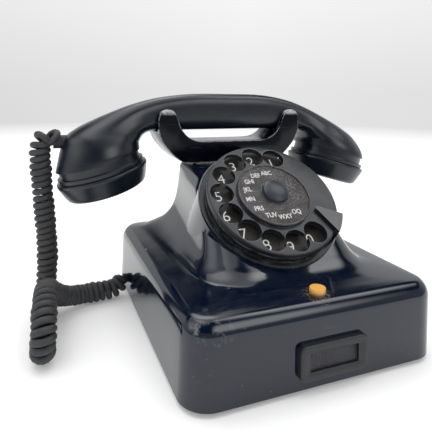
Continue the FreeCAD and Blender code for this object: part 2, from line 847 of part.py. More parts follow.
def gong(place):
    """Thin bell cup, open downward, with a hole for its screw."""
    top = gong_rim_z + gong_height
    wall = gong_wall
    outer = [(gong_radius, gong_rim_z), (gong_radius - 0.8, gong_rim_z + 4.5), (gong_radius - 4.0, top - 1.4)]
    outer.append((gong_radius - 7.5, top))
    inner = [(gong_radius - 7.5, top - wall), (gong_radius - 4.6, top - 1.4 - wall)]
    inner += [(gong_radius - 0.8 - wall, gong_rim_z + 4.0), (gong_radius - wall, gong_rim_z)]
    cup = revolved(outer + [(screw_radius, top), (screw_radius, top - wall)] + inner)
    cup.translate(place)
    return cup


def left_gong():
    return gong(gong_places()[0])


def right_gong():
    return gong(gong_places()[1])


def gong_posts():
    foot = base_bottom_z + plate_height
    top = gong_rim_z + gong_height - gong_wall
    posts = []
    for place in gong_places():
        post = Part.makeCylinder(3.5, top - foot, place + Vector(0, 0, foot))
        posts.append(post.cut(Part.makeCylinder(screw_radius, 10, place + Vector(0, 0, top - 8))))
    return Part.makeCompound(posts)


def gong_screws():
    top = gong_rim_z + gong_height
    screws = []
    for place in gong_places():
        head = Part.makeCylinder(screw_head_radius, screw_head_height, place + Vector(0, 0, top))
        shank = Part.makeCylinder(screw_radius, 8, place + Vector(0, 0, top - 8))
        slot = box_between(-4, 4, -0.4, 0.4, top + screw_head_height - 0.6, top + 3)
        slot.translate(place)
        screws.append(fused(head, shank).cut(slot))
    return Part.makeCompound(screws)


def ringer_frame():
    foot = base_bottom_z + plate_height
    back = clapper_pivot_y - 4.1 - bell_coil_length
    half = bell_coil_x + bell_coil_radius
    floor_ = box_between(-half, half, back - 2, clapper_pivot_y + 4, foot, foot + 1.5)
    yoke = box_between(-half, half, back - 2, back, foot, bell_axis_z + bell_coil_radius)
    pin = Part.makeCylinder(1.5, bell_axis_z + 9 - foot, Vector(0, clapper_pivot_y, foot))
    cores = []
    for sx in (-1, 1):
        x = sx * bell_coil_x
        cores.append(rod(2.5, Vector(x, back, bell_axis_z), Vector(x, back + bell_coil_length, bell_axis_z)))
    return fused(floor_, yoke, pin, *cores)


def ringer_coils():
    back = clapper_pivot_y - 4.1 - bell_coil_length
    coils = []
    for sx in (-1, 1):
        start = Vector(sx * bell_coil_x, back + 0.1, bell_axis_z)
        along = Vector(0, 1, 0)
        length = bell_coil_length - 1.5
        winding = Part.makeCylinder(bell_coil_radius - 1.0, length, start, along)
        cheek = Part.makeCylinder(bell_coil_radius, 1.2, start, along)
        end_cheek = Part.makeCylinder(bell_coil_radius, 1.2, start + Vector(0, length - 1.2, 0), along)
        bore = Part.makeCylinder(2.5, 60, start - Vector(0, 10, 0), along)
        coils.append(fused(winding, cheek, end_cheek).cut(bore))
    return Part.makeCompound(coils)


def clapper():
    hub = Part.makeCylinder(3.0, 12, Vector(0, clapper_pivot_y, bell_axis_z - 6))
    front, rear = clapper_pivot_y - 1.2, clapper_pivot_y + 1.2
    plate = box_between(-16, 16, front, rear, bell_axis_z - 6, bell_axis_z + 6)
    arm_z = gong_rim_z + 2.8
    arm = rod(0.9, Vector(0, clapper_pivot_y + 2, arm_z), Vector(0, gong_y, arm_z))
    ball = Part.makeSphere(clapper_ball_radius, Vector(0, gong_y, arm_z))
    bore = Part.makeCylinder(1.5 + running_gap, 30, Vector(0, clapper_pivot_y, bell_axis_z - 15))
    return fused(hub, plate, arm, ball).cut(bore)


# ---------------------------------------------------------------- other parts on the base plate
def capacitor():
    foot = base_bottom_z + plate_height
    left = 7.5 - base_width / 2
    can = box_between(left, left + 22, -12, 22, foot, foot + 14)
    edges = [edge for edge in can.Edges if edge.Length < 15]
    can = can.makeFillet(1.5, edges)
    tags = []
    for y in (0, 10):
        tags.append(box_between(left + 9.5, left + 12.5, y - 0.4, y + 0.4, foot + 14, foot + 19))
    return fused(can, *tags)


def induction_coil():
    """Winding between square cheeks on an iron core."""
    foot = base_bottom_z + plate_height
    axis_z = foot + 11
    start = Vector(base_width / 2 - 29.5, 28.2 - base_depth / 2, axis_z)
    winding = Part.makeCylinder(9, 28, start + Vector(0, 2, 0), Vector(0, 1, 0))
    cheeks = []
    for y in (start.y, start.y + 30):
        cheeks.append(box_between(start.x - 11, start.x + 11, y, y + 2, foot, foot + 22))
    core = Part.makeCylinder(3, 36, start - Vector(0, 2, 0), Vector(0, 1, 0))
    return fused(winding, core, *cheeks)


def terminal_corner():
    """Front left corner of the terminal block."""
    return 10.5 - base_width / 2, 20.2 - base_depth / 2


def terminal_places():
    left, front = terminal_corner()
    return [(left + 5 + 8 * i, front + 5 + 12 * j) for j in range(2) for i in range(4)]


def terminal_block():
    foot = base_bottom_z + plate_height
    left, front = terminal_corner()
    block_ = box_between(left, left + 34, front, front + 22, foot, foot + 8)
    rib = box_between(left, left + 34, front + 10, front + 12, foot + 8, foot + 10)
    holes = []
    for x, y in terminal_places():
        holes.append(Part.makeCylinder(screw_radius, 6, Vector(x, y, foot + 3)))
    return fused(block_, rib).cut(holes[0].multiFuse(holes[1:]))


def terminal_screws():
    foot = base_bottom_z + plate_height
    screws = []
    for x, y in terminal_places():
        head = Part.makeCylinder(2.4, 1.2, Vector(x, y, foot + 8))
        shank = Part.makeCylinder(screw_radius, 5, Vector(x, y, foot + 3))
        slot = box_between(x - 3, x + 3, y - 0.35, y + 0.35, foot + 8.6, foot + 12)
        screws.append(fused(head, shank).cut(slot))
    return Part.makeCompound(screws)


# ---------------------------------------------------------------- handset
def in_cap_frame(shape, side):
    """Moves a piece made about +Z onto the left (-1) or right (+1) end; local +Z points away from the cap."""
    placed = shape.copy()
    turn = Rotation(Vector(0, 1, 0), side * cap_tilt)
    place = Placement(Vector(side * cap_centre_x, cradle_y, cap_centre_z), turn)
    placed.Placement = place.multiply(shape.Placement)
    return placed


def section_points(low, high, half_depth, fullness):
    """Closed ring between two points of the middle plane; fullness 2 is an oval, more is squarer."""
    middle = (low + high) * 0.5
    reach = (low - high) * 0.5
    points = []
    for k in range(section_count + 1):
        turn = 2 * math.pi * (k % section_count) / section_count
        along = math.copysign(abs(math.cos(turn)) ** (2 / fullness), math.cos(turn))
        across = math.copysign(abs(math.sin(turn)) ** (2 / fullness), math.sin(turn))
        points.append(middle + reach * along + Vector(0, half_depth * across, 0))
    return points


def under_line():
    """(x, z) of the handset's underside from a cap to near the middle; the same on both sides."""
    junction = cap_frame_point(body_rim_radius)
    low = handle_bottom_z
    return [
        (junction.x, junction.z),
        (59.9, 99.6),
        (60.0, 101.0),
        (59.7, 102.4),
        (59.1, 103.8),
        (58.2, 105.3),
        (56.6, low - 1.8),
        (54.0, low - 0.7),
        (50.0, low - 0.1),
        (44.0, low),
        (34.0, low),
    ]


def over_line(side):
    """(x, z, half depth) of the handset's back, from a cap to near the middle."""
    rim = cap_frame_point(-body_rim_radius)
    top = handle_top_z
    half = handle_depth / 2
    if side < 0:
        shoulder = [(109.4, 88.0, 26.2), (108.4, 93.0, 25.2), (106.7, 99.5, 23.4), (104.3, 105.0, 21.0)]
        shoulder += [(97.8, 110.2, 18.2), (88.0, 115.2, 15.6), (76.5, 120.2, 13.2)]
        rise = [(64.5, top - 7.5, half + 1.3), (50.0, top - 3.5, half + 0.1), (36.0, top - 1.3, half)]
    else:
        shoulder = [(109.4, 88.0, 26.0), (107.3, 92.5, 25.0), (104.0, 97.5, 23.2), (99.0, 102.6, 20.8)]
        shoulder += [(92.5, 107.2, 18.2), (84.5, 112.0, 15.6), (74.5, 117.2, 13.4)]
        rise = [(63.5, top - 9.9, half + 1.4), (50.0, top - 4.8, half + 0.1), (36.0, top - 1.7, half)]
    return [(rim.x, rim.z, body_rim_radius)] + shoulder + rise


def cap_frame_point(offset):
    """Point of the right cap's seat, offset inward in the middle plane."""
    tilt = math.radians(cap_tilt)
    return Vector(cap_centre_x - offset * math.cos(tilt), cradle_y, cap_centre_z + offset * math.sin(tilt))


def handset_body():
    """Solid through the rings, which turn about the underside from one cap's seat to the other."""
    rings = []
    for side in (-1, 1):
        half_rings = []
        for k, ((low_x, low_z), (x, z, half_depth)) in enumerate(zip(under_line(), over_line(side))):
            fullness = 2.0 + handle_squareness * max(0, k - 3) / 7
            low = Vector(side * low_x, cradle_y, low_z)
            half_rings.append(section_points(low, Vector(side * x, cradle_y, z), half_depth, fullness))
        rings.append(half_rings)
    middle_low = Vector(0, cradle_y, handle_bottom_z)
    middle_high = Vector(0, cradle_y, handle_top_z)
    middle = section_points(middle_low, middle_high, handle_depth / 2, 2.0 + handle_squareness)
    surface = Part.BSplineSurface()
    surface.interpolate(rings[0] + [middle] + rings[1][::-1])
    skin = surface.toShape()
    faces = [skin]
    for edge in skin.Edges:
        if abs(abs(edge.CenterOfMass.x) - cap_centre_x) < 5 and edge.Length > 150:
            faces.append(Part.Face(Part.Wire(edge)))
    shell = Part.makeShell(faces)
    shell.sewShape()
    return Part.makeSolid(shell)


def hollow(side):
    """Room for the capsule inside one end of the handset."""
    reach = body_rim_radius - cap_wall
    levels = [(0.0, reach), (5.0, reach - 2.6), (hollow_height, reach - 8.4)]
    wires = []
    for z, radius in levels:
        centre = Vector(-side * (reach - radius) * 0.25, 0, z)
        wires.append(Part.Wire(Part.makeCircle(radius, centre)))
    return in_cap_frame(Part.makeLoft(wires, True, True), side)


def handset_shell():
    shell = handset_body().cut(hollow(-1)).cut(hollow(1))
    return shell.cut(rod(handset_gland_radius, handset_gland_face + Vector(9, 0, 0), handset_gland_face))


def cap(side):
    """Screwed cap of one end, with a knurled band, a wider rim and a perforated face."""
    profile = [
        (cap_bore_radius, 0.0),
        (cap_groove_radius, 0.0),
        (cap_groove_radius, 4.5),
        (cap_band_radius, 4.8),
        (cap_band_radius, 7.2),
        (cap_rim_radius - 0.5, 7.7),
        (cap_rim_radius, 8.4),
        (cap_rim_radius, 9.4),
        (cap_rim_radius - 0.4, 10.4),
        (cap_face_radius + 2.0, 17.0),
        (cap_face_radius + 0.8, 19.0),
        (cap_face_radius - 0.6, 20.1),
        (cap_face_radius - 2.2, cap_depth),
        (cap_face_radius - 7.0, cap_depth),
        (0.0, cap_depth - 1.0),
        (0.0, cap_depth - cap_wall - 1.0),
        (cap_bore_radius, cap_depth - cap_wall - 1.0),
    ]
    shape = revolved([(radius, -depth) for radius, depth in profile])
    holes = [Part.makeCylinder(cap_hole_radius, 8, Vector(0, 0, -cap_depth - 2))]
    for k in range(6):
        holes.append(Part.makeCylinder(cap_hole_radius, 8, polar(cap_hole_circle, 60 * k, -cap_depth - 2)))
    return in_cap_frame(shape.cut(holes[0].multiFuse(holes[1:])), side)


def mouthpiece_cap():
    return cap(-1)


def earpiece_cap():
    return cap(1)


def capsule(side, rim_step):
    """Round capsule that lies against the inside of the cap's face."""
    low = -(cap_depth - cap_wall - 1.0)
    body = Part.makeCylinder(capsule_radius, capsule_depth - 3, Vector(0, 0, low))
    back = Part.makeCylinder(capsule_radius - rim_step, 3, Vector(0, 0, low + capsule_depth - 3))
    return in_cap_frame(fused(body, back), side)


def transmitter_capsule():
    return capsule(-1, 4.0)


def receiver_capsule():
    return capsule(1, 2.0)


def capsule_contacts():
    """Spring contact holder in the hollow of each end, pressing on the back of the capsule."""
    low = -(cap_depth - cap_wall - 1.0) + capsule_depth
    holders = []
    for side in (-1, 1):
        disc = Part.makeCylinder(12.0, 2.0, Vector(0, 0, low))
        post = Part.makeCylinder(4.0, hollow_height - low - 2.0, Vector(0, 0, low + 2.0))
        holders.append(in_cap_frame(fused(disc, post), side))
    return Part.makeCompound(holders)


# ---------------------------------------------------------------- cord and its glands
def housing_cord_gland():
    left = -base_width / 2
    stem = rod(gland_stem_radius, Vector(left + 5, gland_y, gland_z), Vector(left, gland_y, gland_z))
    collar = rod(gland_radius, Vector(left, gland_y, gland_z), Vector(left - gland_reach, gland_y, gland_z))
    return fused(stem, collar)


def handset_cord_gland():
    return rod(handset_gland_radius, handset_gland_face + Vector(9, 0, 0), handset_gland_face)


def line_cord_grommet():
    rear = base_depth / 2
    inner = Vector(grommet_x, rear - 5, grommet_z)
    face = Vector(grommet_x, rear, grommet_z)
    outer = Vector(grommet_x, rear + grommet_proud, grommet_z)
    shape = fused(rod(grommet_stem_radius, inner, face), rod(grommet_radius, face, outer))
    return shape.cut(rod(grommet_bore_radius, inner - Vector(0, 1, 0), outer + Vector(0, 1, 0)))


def cord_points():
    """Corners of the cord's centre line, from the handset's gland to the gland on the housing."""
    rest = cord_rest_z
    step = loop_step
    lean = Vector(0.1, 0, 0.995)
    ahead = Vector(0, -1, 0)
    turn_start = Vector(-120.2, -11.0, rest)
    turn_low = turn_start + (ahead + lean) * 0.7071 * step
    turn_high = turn_low + lean * step
    turn_end = turn_high + (lean - ahead) * 0.7071 * step
    return [
        handset_gland_face,
        handset_gland_face + Vector(-7.2, 0, 0),
        handset_gland_face + Vector(-13.2, 0, -6.0),
        Vector(-118.2, cradle_y, 76.0),
        Vector(-116.4, cradle_y, 50.0),
        Vector(-117.6, cradle_y, rest + 4.6),
        Vector(-118.8, cradle_y - 4.6, rest),
        turn_start,
        turn_low,
        turn_high,
        turn_end,
        Vector(-118.4, 12.0, rest + 14.4),
        Vector(-115.2, 24.0, rest + 10.6),
        Vector(-108.0, 33.5, rest + 5.6),
        Vector(-98.0, 40.5, rest + 1.0),
        Vector(-88.5, 44.2, rest),
        Vector(-82.0, gland_y - 2.4, rest + 1.1),
        Vector(-77.0, gland_y, gland_z),
        Vector(-base_width / 2 - gland_reach, gland_y, gland_z),
    ]


def cord_route():
    """Straight runs joined by tangent arcs, and the radii of those arcs."""
    points = cord_points()
    edges, radii = [], []
    here = points[0]
    for i in range(1, len(points) - 1):
        back = points[i - 1] - points[i]
        ahead = points[i + 1] - points[i]
        shorter = min(back.Length, ahead.Length)
        half_turn = (math.pi - back.getAngle(ahead)) / 2
        back.normalize()
        ahead.normalize()
        run = 0.45 * shorter
        radius = run / math.tan(half_turn)
        radii.append(radius)
        bisector = (back + ahead).normalize()
        middle = points[i] + bisector * (radius / math.cos(half_turn) - radius)
        start = points[i] + back * run
        end = points[i] + ahead * run
        edges.append(Part.LineSegment(here, start).toShape())
        edges.append(Part.Arc(start, middle, end).toShape())
        here = end
    edges.append(Part.LineSegment(here, points[-1]).toShape())
    return Part.Wire(edges), radii


def handset_cord():
    """Curly cord, drawn as one tube with the outer diameter of its coil."""
    wire, radii = cord_route()
    first = wire.Edges[0]
    start = first.valueAt(first.FirstParameter)
    along = first.tangentAt(first.FirstParameter)
    circle = Part.Wire(Part.makeCircle(coil_diameter / 2, start, along))
    print("cord radii mm:", [round(radius, 1) for radius in radii], "length mm:", round(wire.Length, 1))
    return wire.makePipeShell([circle], True, True)


PIECES = [
    housing,
    base_plate,
    rubber_feet,
    base_screws,
    label_frame,
    label_card,
    label_window,
    push_button,
    button_guide,
    button_spring,
    button_contact,
    finger_wheel,
    dial_card,
    dial_cover,
    hub_knob,
    dial_shaft,
    main_gear,
    number_plate,
    dial_case,
    finger_stop,
    pulse_wheel,
    governor,
    dial_back_plate,
    movement_bridge,
    mainspring_case,
    pulse_contacts,
    cradle_fork,
    hook_bracket,
    hook_spring,
    hook_contacts,
    left_gong,
    right_gong,
    gong_posts,
    gong_screws,
    ringer_frame,
    ringer_coils,
    clapper,
    capacitor,
    induction_coil,
    terminal_block,
    terminal_screws,
    handset_shell,
    mouthpiece_cap,
    earpiece_cap,
    transmitter_capsule,
    receiver_capsule,
    capsule_contacts,
    housing_cord_gland,
    handset_cord_gland,
    line_cord_grommet,
    handset_cord,
]


def main():
    os.makedirs("parts", exist_ok=True)
    for make in PIECES:
        shape = make()
        print(make.__name__, len(shape.Solids), round(shape.Volume, 1), shape.isValid())
        shape.exportStep(f"parts/{make.__name__}.step")


main()
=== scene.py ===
"""Rotary-dial desk telephone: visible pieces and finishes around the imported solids. Tables in millimetres."""

import json
import math

import bmesh
import bpy
from mathutils import Matrix, Vector


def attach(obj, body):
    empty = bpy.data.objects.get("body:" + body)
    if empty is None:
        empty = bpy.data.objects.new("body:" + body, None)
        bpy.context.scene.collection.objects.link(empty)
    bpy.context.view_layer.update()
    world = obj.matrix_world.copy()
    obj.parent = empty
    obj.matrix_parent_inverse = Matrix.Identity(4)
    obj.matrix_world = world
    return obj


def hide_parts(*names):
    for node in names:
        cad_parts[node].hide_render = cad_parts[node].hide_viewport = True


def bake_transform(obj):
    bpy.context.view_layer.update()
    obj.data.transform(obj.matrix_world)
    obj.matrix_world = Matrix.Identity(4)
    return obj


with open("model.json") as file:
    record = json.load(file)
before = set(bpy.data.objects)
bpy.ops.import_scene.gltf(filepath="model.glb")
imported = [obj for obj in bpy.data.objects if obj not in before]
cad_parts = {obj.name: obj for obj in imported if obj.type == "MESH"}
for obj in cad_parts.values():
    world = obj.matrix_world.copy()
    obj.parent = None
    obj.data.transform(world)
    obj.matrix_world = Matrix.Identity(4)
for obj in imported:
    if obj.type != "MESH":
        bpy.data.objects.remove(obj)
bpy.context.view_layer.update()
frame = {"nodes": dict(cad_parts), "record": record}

MM = 0.001
UP = Vector((0, 0, 1))


def mm(x, y, z):
    return Vector((x, y, z)) * MM


# ---- camera
PICTURE_WIDTH, PICTURE_HEIGHT = 432, 444
SENSOR = 36
FOCAL_PIXELS = 455.45
AXIS_X, AXIS_Y = 218.93, 139.81  # pixel on the lens's axis
CAMERA_PLACE = (-120.06, -241.55, 134.16)
YAW, PITCH, ROLL = 21.88, 6.10, 0.83


def set_camera():
    yaw, pitch, roll = math.radians(YAW), math.radians(PITCH), math.radians(ROLL)
    ahead = Vector((math.sin(yaw) * math.cos(pitch), math.cos(yaw) * math.cos(pitch), -math.sin(pitch)))
    right = Vector((math.cos(yaw), -math.sin(yaw), 0))
    up = right.cross(ahead)
    turned_right = right * math.cos(roll) + up * math.sin(roll)
    turned_up = up * math.cos(roll) - right * math.sin(roll)
    data = bpy.data.cameras.new("camera")
    data.sensor_width = SENSOR
    data.lens = FOCAL_PIXELS * SENSOR / PICTURE_HEIGHT
    data.shift_x = (PICTURE_WIDTH / 2 - AXIS_X) / PICTURE_HEIGHT
    data.shift_y = (AXIS_Y - PICTURE_HEIGHT / 2) / PICTURE_HEIGHT
    data.clip_start = 0.01
    camera = bpy.data.objects.new("camera", data)
    columns = Matrix((turned_right, turned_up, -ahead)).transposed().to_4x4()
    camera.matrix_world = Matrix.Translation(mm(*CAMERA_PLACE)) @ columns
    bpy.context.scene.collection.objects.link(camera)
    bpy.context.scene.camera = camera


set_camera()


# ---- mesh helpers
def linked(name, data):
    piece = bpy.data.objects.new(name, data)
    bpy.context.scene.collection.objects.link(piece)
    return piece


def evaluated_mesh(piece):
    """Plain mesh of an object with its modifiers."""
    bpy.context.view_layer.update()
    depsgraph = bpy.context.evaluated_depsgraph_get()
    return bpy.data.meshes.new_from_object(piece.evaluated_get(depsgraph))


def bake_modifiers(piece):
    mesh = evaluated_mesh(piece)
    piece.modifiers.clear()
    piece.data = mesh
    return piece


def drop(*pieces):
    for piece in pieces:
        bpy.data.objects.remove(piece)


def soften(piece, degrees=32):
    """Smooth shading, with edges kept sharp past an angle."""
    work = bmesh.new()
    work.from_mesh(piece.data)
    limit = math.radians(degrees)
    for edge in work.edges:
        edge.smooth = len(edge.link_faces) == 2 and edge.calc_face_angle(0) < limit
    for face in work.faces:
        face.smooth = True
    work.to_mesh(piece.data)
    work.free()
    return piece


def mesh_piece(name, verts, faces, slivers_out=False):
    mesh = bpy.data.meshes.new(name)
    mesh.from_pydata([tuple(v) for v in verts], [], faces)
    work = bmesh.new()
    work.from_mesh(mesh)
    bmesh.ops.remove_doubles(work, verts=work.verts, dist=1e-7)
    if slivers_out:
        bmesh.ops.dissolve_degenerate(work, edges=work.edges, dist=1e-8)
    bmesh.ops.recalc_face_normals(work, faces=work.faces)
    work.to_mesh(mesh)
    work.free()
    return linked(name, mesh)


def ring_shell(name, rings):
    """Closed form through rings of equal count; its first and last ring are filled."""
    count = len(rings[0])
    verts = [v for ring in rings for v in ring]
    faces = []
    for i in range(len(rings) - 1):
        for k in range(count):
            a, b = i * count + k, i * count + (k + 1) % count
            faces.append((a, b, b + count, a + count))
    faces.append(tuple(reversed(range(count))))
    faces.append(tuple(range((len(rings) - 1) * count, len(rings) * count)))
    return mesh_piece(name, verts, faces)


def turned(name, profile, steps=96):
    """Closed (radius, height) profile in millimetres, turned about +Z."""
    verts, faces = [], []
    count = len(profile)
    for k in range(steps):
        angle = 2 * math.pi * k / steps
        verts += [mm(r * math.cos(angle), r * math.sin(angle), z) for r, z in profile]
    for k in range(steps):
        for i in range(count):
            j = (i + 1) % count
            if profile[i][0] == 0 and profile[j][0] == 0:
                continue
            a, b = k * count, (k + 1) % steps * count
            faces.append((a + i, a + j, b + j, b + i))
    return mesh_piece(name, verts, faces, slivers_out=True)


def drum(name, radius, low, high, steps=96):
    return turned(name, [(0, low), (radius, low), (radius, high), (0, high)], steps)


def rod(name, radius, start, end, steps=48):
    """Round bar between two points in millimetres."""
    start, end = Vector(start), Vector(end)
    bar = drum(name, radius, 0, (end - start).length, steps)
    turn = (end - start).to_track_quat("Z", "Y").to_matrix().to_4x4()
    bar.data.transform(Matrix.Translation(start * MM) @ turn)
    return bar


def box(name, low, high):
    corners = [mm(x, y, z) for z in (low[2], high[2]) for x, y in
               ((low[0], low[1]), (high[0], low[1]), (high[0], high[1]), (low[0], high[1]))]
    faces = [(3, 2, 1, 0), (4, 5, 6, 7), (0, 1, 5, 4), (1, 2, 6, 5), (2, 3, 7, 6), (3, 0, 4, 7)]
    return mesh_piece(name, corners, faces)


def combined(base, operation, *others):
    """Joins closed forms to the base, or takes them out of it."""
    for other in others:
        step = base.modifiers.new("form", "BOOLEAN")
        step.operation = operation
        step.solver = "MANIFOLD"
        step.object = other
    bake_modifiers(base)
    drop(*others)
    return base


def place_mesh(piece, matrix):
    piece.data.transform(matrix)
    return piece


def finished(piece, body, slot, *nodes, finish=None):
    """Gives a piece its finish and its body, and hides the solids that it stands for."""
    piece.data.materials.clear()
    piece.data.materials.append(FINISHES[finish or slot])
    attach(piece, body)
    if nodes:
        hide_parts(*nodes)
    return piece


def smooth_rows(rows, steps):
    """More rows between the given ones, on a cubic through them whose slopes allow for uneven spacing."""
    gaps = [math.dist(a, b) for a, b in zip(rows, rows[1:])]
    slopes = []
    for i in range(len(rows)):
        before, after = max(i - 1, 0), min(i, len(gaps) - 1)
        share = gaps[after] / (gaps[before] + gaps[after])
        arrive = [(b - a) / gaps[before] for a, b in zip(rows[before], rows[before + 1])]
        leave = [(b - a) / gaps[after] for a, b in zip(rows[after], rows[after + 1])]
        slopes.append([a * share + b * (1 - share) for a, b in zip(arrive, leave)])
    out = []
    for i, gap in enumerate(gaps):
        for k in range(steps):
            t = k / steps
            weights = [2 * t**3 - 3 * t**2 + 1, 3 * t**2 - 2 * t**3]
            weights += [(t**3 - 2 * t**2 + t) * gap, (t**3 - t**2) * gap]
            parts = zip(rows[i], rows[i + 1], slopes[i], slopes[i + 1])
            out.append([sum(w * v for w, v in zip(weights, values)) for values in parts])
    out.append(list(rows[-1]))
    return out


# ---- curly cord
CORD_WIRE = 3.9
CORD_COIL = 12.6
CORD_PITCH = 3.95
LINE_STEP, WIRE_STEP = 0.25, 1.9
FIRST_PHASE = 0.9
HANDSET_END, HOUSING_END = 1.6, 4.5  # length over which the coil opens to its full width
CORD_ROUTE = [
    (-110.8, 47.0, 102.5), (-111.6, 47.0, 104.6), (-114.0, 47.0, 106.6), (-117.3, 47.0, 104.4),
    (-118.9, 47.0, 98.5), (-118.6, 47.0, 90.0), (-118.0, 47.0, 76.0), (-116.4, 47.0, 50.0),
    (-115.8, 47.0, 34.0), (-116.8, 47.0, 19.0), (-117.8, 46.0, 8.0), (-118.8, 36.0, 6.5),
    (-119.6, 8.0, 6.5), (-120.2, -9.0, 6.5), (-120.2, -20.0, 7.5), (-119.6, -20.5, 17.5),
    (-119.2, -14.0, 24.5), (-118.5, -5.0, 28.5), (-117.8, 5.0, 28.5), (-116.5, 16.0, 24.5),
    (-113.5, 26.0, 17.5), (-107.5, 35.0, 10.5), (-98.0, 42.2, 7.0), (-88.5, 44.0, 6.5),
    (-80.0, 44.6, 6.5), (-75.5, 45.2, 6.9), (-72.6, 47.0, 9.4), (-70.1, 48.8, 11.0),
]


def spline_points(route, name):
    """Closely spaced points of the NURBS spline that follows a route."""
    curve = bpy.data.curves.new(name, "CURVE")
    curve.dimensions = "3D"
    curve.resolution_u = 24
    spline = curve.splines.new("NURBS")
    spline.points.add(len(route) - 1)
    for point, place in zip(spline.points, route):
        point.co = (*mm(*place), 1)
    spline.order_u = 3
    spline.use_endpoint_u = True
    holder = linked(name, curve)
    mesh = evaluated_mesh(holder)
    points = [v.co.copy() for v in mesh.vertices]
    drop(holder)
    return points


def evenly(points, step):
    """Points at an even step along a line, with the distance of each from the start."""
    out, gone, due = [(points[0].copy(), 0.0)], 0.0, step
    for a, b in zip(points, points[1:]):
        run = (b - a).length
        while run > 0 and due <= gone + run:
            out.append((a.lerp(b, (due - gone) / run), due))
            due += step
        gone += run
    out.append((points[-1].copy(), gone))
    return out


def frames_along(points):
    """Direction and two normals at each point, carried along the line without twist."""
    normal = Vector((0, 1, 0))
    out = []
    for i in range(len(points)):
        along = (points[min(i + 1, len(points) - 1)] - points[max(i - 1, 0)]).normalized()
        normal = (normal - along * normal.dot(along)).normalized()
        out.append((along, normal, along.cross(normal)))
    return out


def pitch_at(gone):
    """Millimetres from turn to turn: wider by the handset, closer along the desk, never quite even."""
    wider = 1.2 * max(0.0, 1 - gone / (22 * MM))
    closer = 0.25 * max(0.0, min(1.0, (gone - 0.115) / 0.02))
    return (CORD_PITCH + wider - closer) * (1 + 0.09 * math.sin(gone * 260) * math.sin(gone * 97 + 1))


def helix_points():
    """The wire's own line: turns about the route, drawn in to it at both ends."""
    line = evenly(spline_points(CORD_ROUTE, "cord_route"), LINE_STEP * MM)
    places = [place for place, _ in line]
    total = line[-1][1]
    radius = (CORD_COIL - CORD_WIRE) / 2 * MM
    phase, out = FIRST_PHASE, []
    for (place, gone), (_, normal, side) in zip(line, frames_along(places)):
        from_end = min(gone / (HANDSET_END * MM), (total - gone) / (HOUSING_END * MM), 1.0)
        reach = radius * math.sin(from_end * math.pi / 2)
        phase += 2 * math.pi * LINE_STEP / pitch_at(gone)
        wobble = 1 + 0.07 * math.sin(gone * 410) * math.sin(gone * 173)
        out.append(place + (normal * math.cos(phase) + side * math.sin(phase)) * reach * wobble)
    return [place for place, _ in evenly(out, WIRE_STEP * MM)]


def tube_along(name, points, radius, sides=9):
    rings = []
    for place, (_, normal, side) in zip(points, frames_along(points)):
        ring = []
        for k in range(sides):
            angle = 2 * math.pi * k / sides
            ring.append(place + (normal * math.cos(angle) + side * math.sin(angle)) * radius)
        rings.append(ring)
    return ring_shell(name, rings)


def handset_cord():
    points = helix_points()
    cord = soften(tube_along("curly_cord", points, CORD_WIRE / 2 * MM), 80)
    finished(cord, "housing", "cord_charcoal", "handset_cord")
    cord.parent = None
    cord.matrix_world = Matrix.Identity(4)
    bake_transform(cord)


# ---- node helpers
def give(tree, socket, value):
    """Joins a socket to another one, or sets its value."""
    if isinstance(value, bpy.types.NodeSocket):
        tree.links.new(value, socket)
    elif socket.type == "RGBA":
        socket.default_value = (*value, 1.0)
    else:
        socket.default_value = value


def node(tree, kind, inputs=None, **settings):
    """Places a node, with its settings, and joins or sets its inputs."""
    made = tree.nodes.new(kind)
    for name, value in settings.items():
        setattr(made, name, value)
    for name, value in (inputs or {}).items():
        give(tree, made.inputs[name], value)
    return made


def maths(tree, operation, *values, clamp=False):
    inputs = dict(enumerate(values))
    return node(tree, "ShaderNodeMath", inputs, operation=operation, use_clamp=clamp).outputs[0]


def times(tree, first, *others):
    """Product of the values."""
    for other in others:
        first = maths(tree, "MULTIPLY", first, other)
    return first


def vector_maths(tree, operation, *vectors):
    inputs = dict(enumerate(vectors))
    return node(tree, "ShaderNodeVectorMath", inputs, operation=operation).outputs["Value"]


def axis(tree, vector, letter):
    return node(tree, "ShaderNodeSeparateXYZ", {"Vector": vector}).outputs[letter]


def noise(tree, vector, scale, detail=2.0, rough=0.5):
    inputs = {"Vector": vector, "Scale": scale, "Detail": detail, "Roughness": rough}
    return node(tree, "ShaderNodeTexNoise", inputs).outputs["Fac"]


def ramp(tree, value, low, high, out_low=0.0, out_high=1.0):
    """Straight ramp of a value between two levels, held at its ends."""
    inputs = {"Value": value, "From Min": low, "From Max": high, "To Min": out_low, "To Max": out_high}
    return node(tree, "ShaderNodeMapRange", inputs).outputs["Result"]


def blend_colours(tree, mask, first, second):
    return node(tree, "ShaderNodeMix", {0: mask, 6: first, 7: second}, data_type="RGBA").outputs[2]


def blend_values(tree, mask, first, second):
    return node(tree, "ShaderNodeMix", {0: mask, 2: first, 3: second}, data_type="FLOAT").outputs[0]


FLOAT = "NodeSocketFloat"


def shared_effect(name, build, **inputs):
    """Shader node group that takes the place on the piece and named values, and gives a mask."""
    tree = bpy.data.node_groups.new(name, "ShaderNodeTree")
    tree.interface.new_socket("Place", in_out="INPUT", socket_type="NodeSocketVector")
    for label, value in inputs.items():
        tree.interface.new_socket(label, in_out="INPUT", socket_type=FLOAT).default_value = value
    tree.interface.new_socket("Mask", in_out="OUTPUT", socket_type=FLOAT)
    node(tree, "NodeGroupOutput", {"Mask": build(tree, node(tree, "NodeGroupInput").outputs)})
    return tree


def effect(tree, group, place, **values):
    return node(tree, "ShaderNodeGroup", {"Place": place, **values}, node_tree=group).outputs["Mask"]


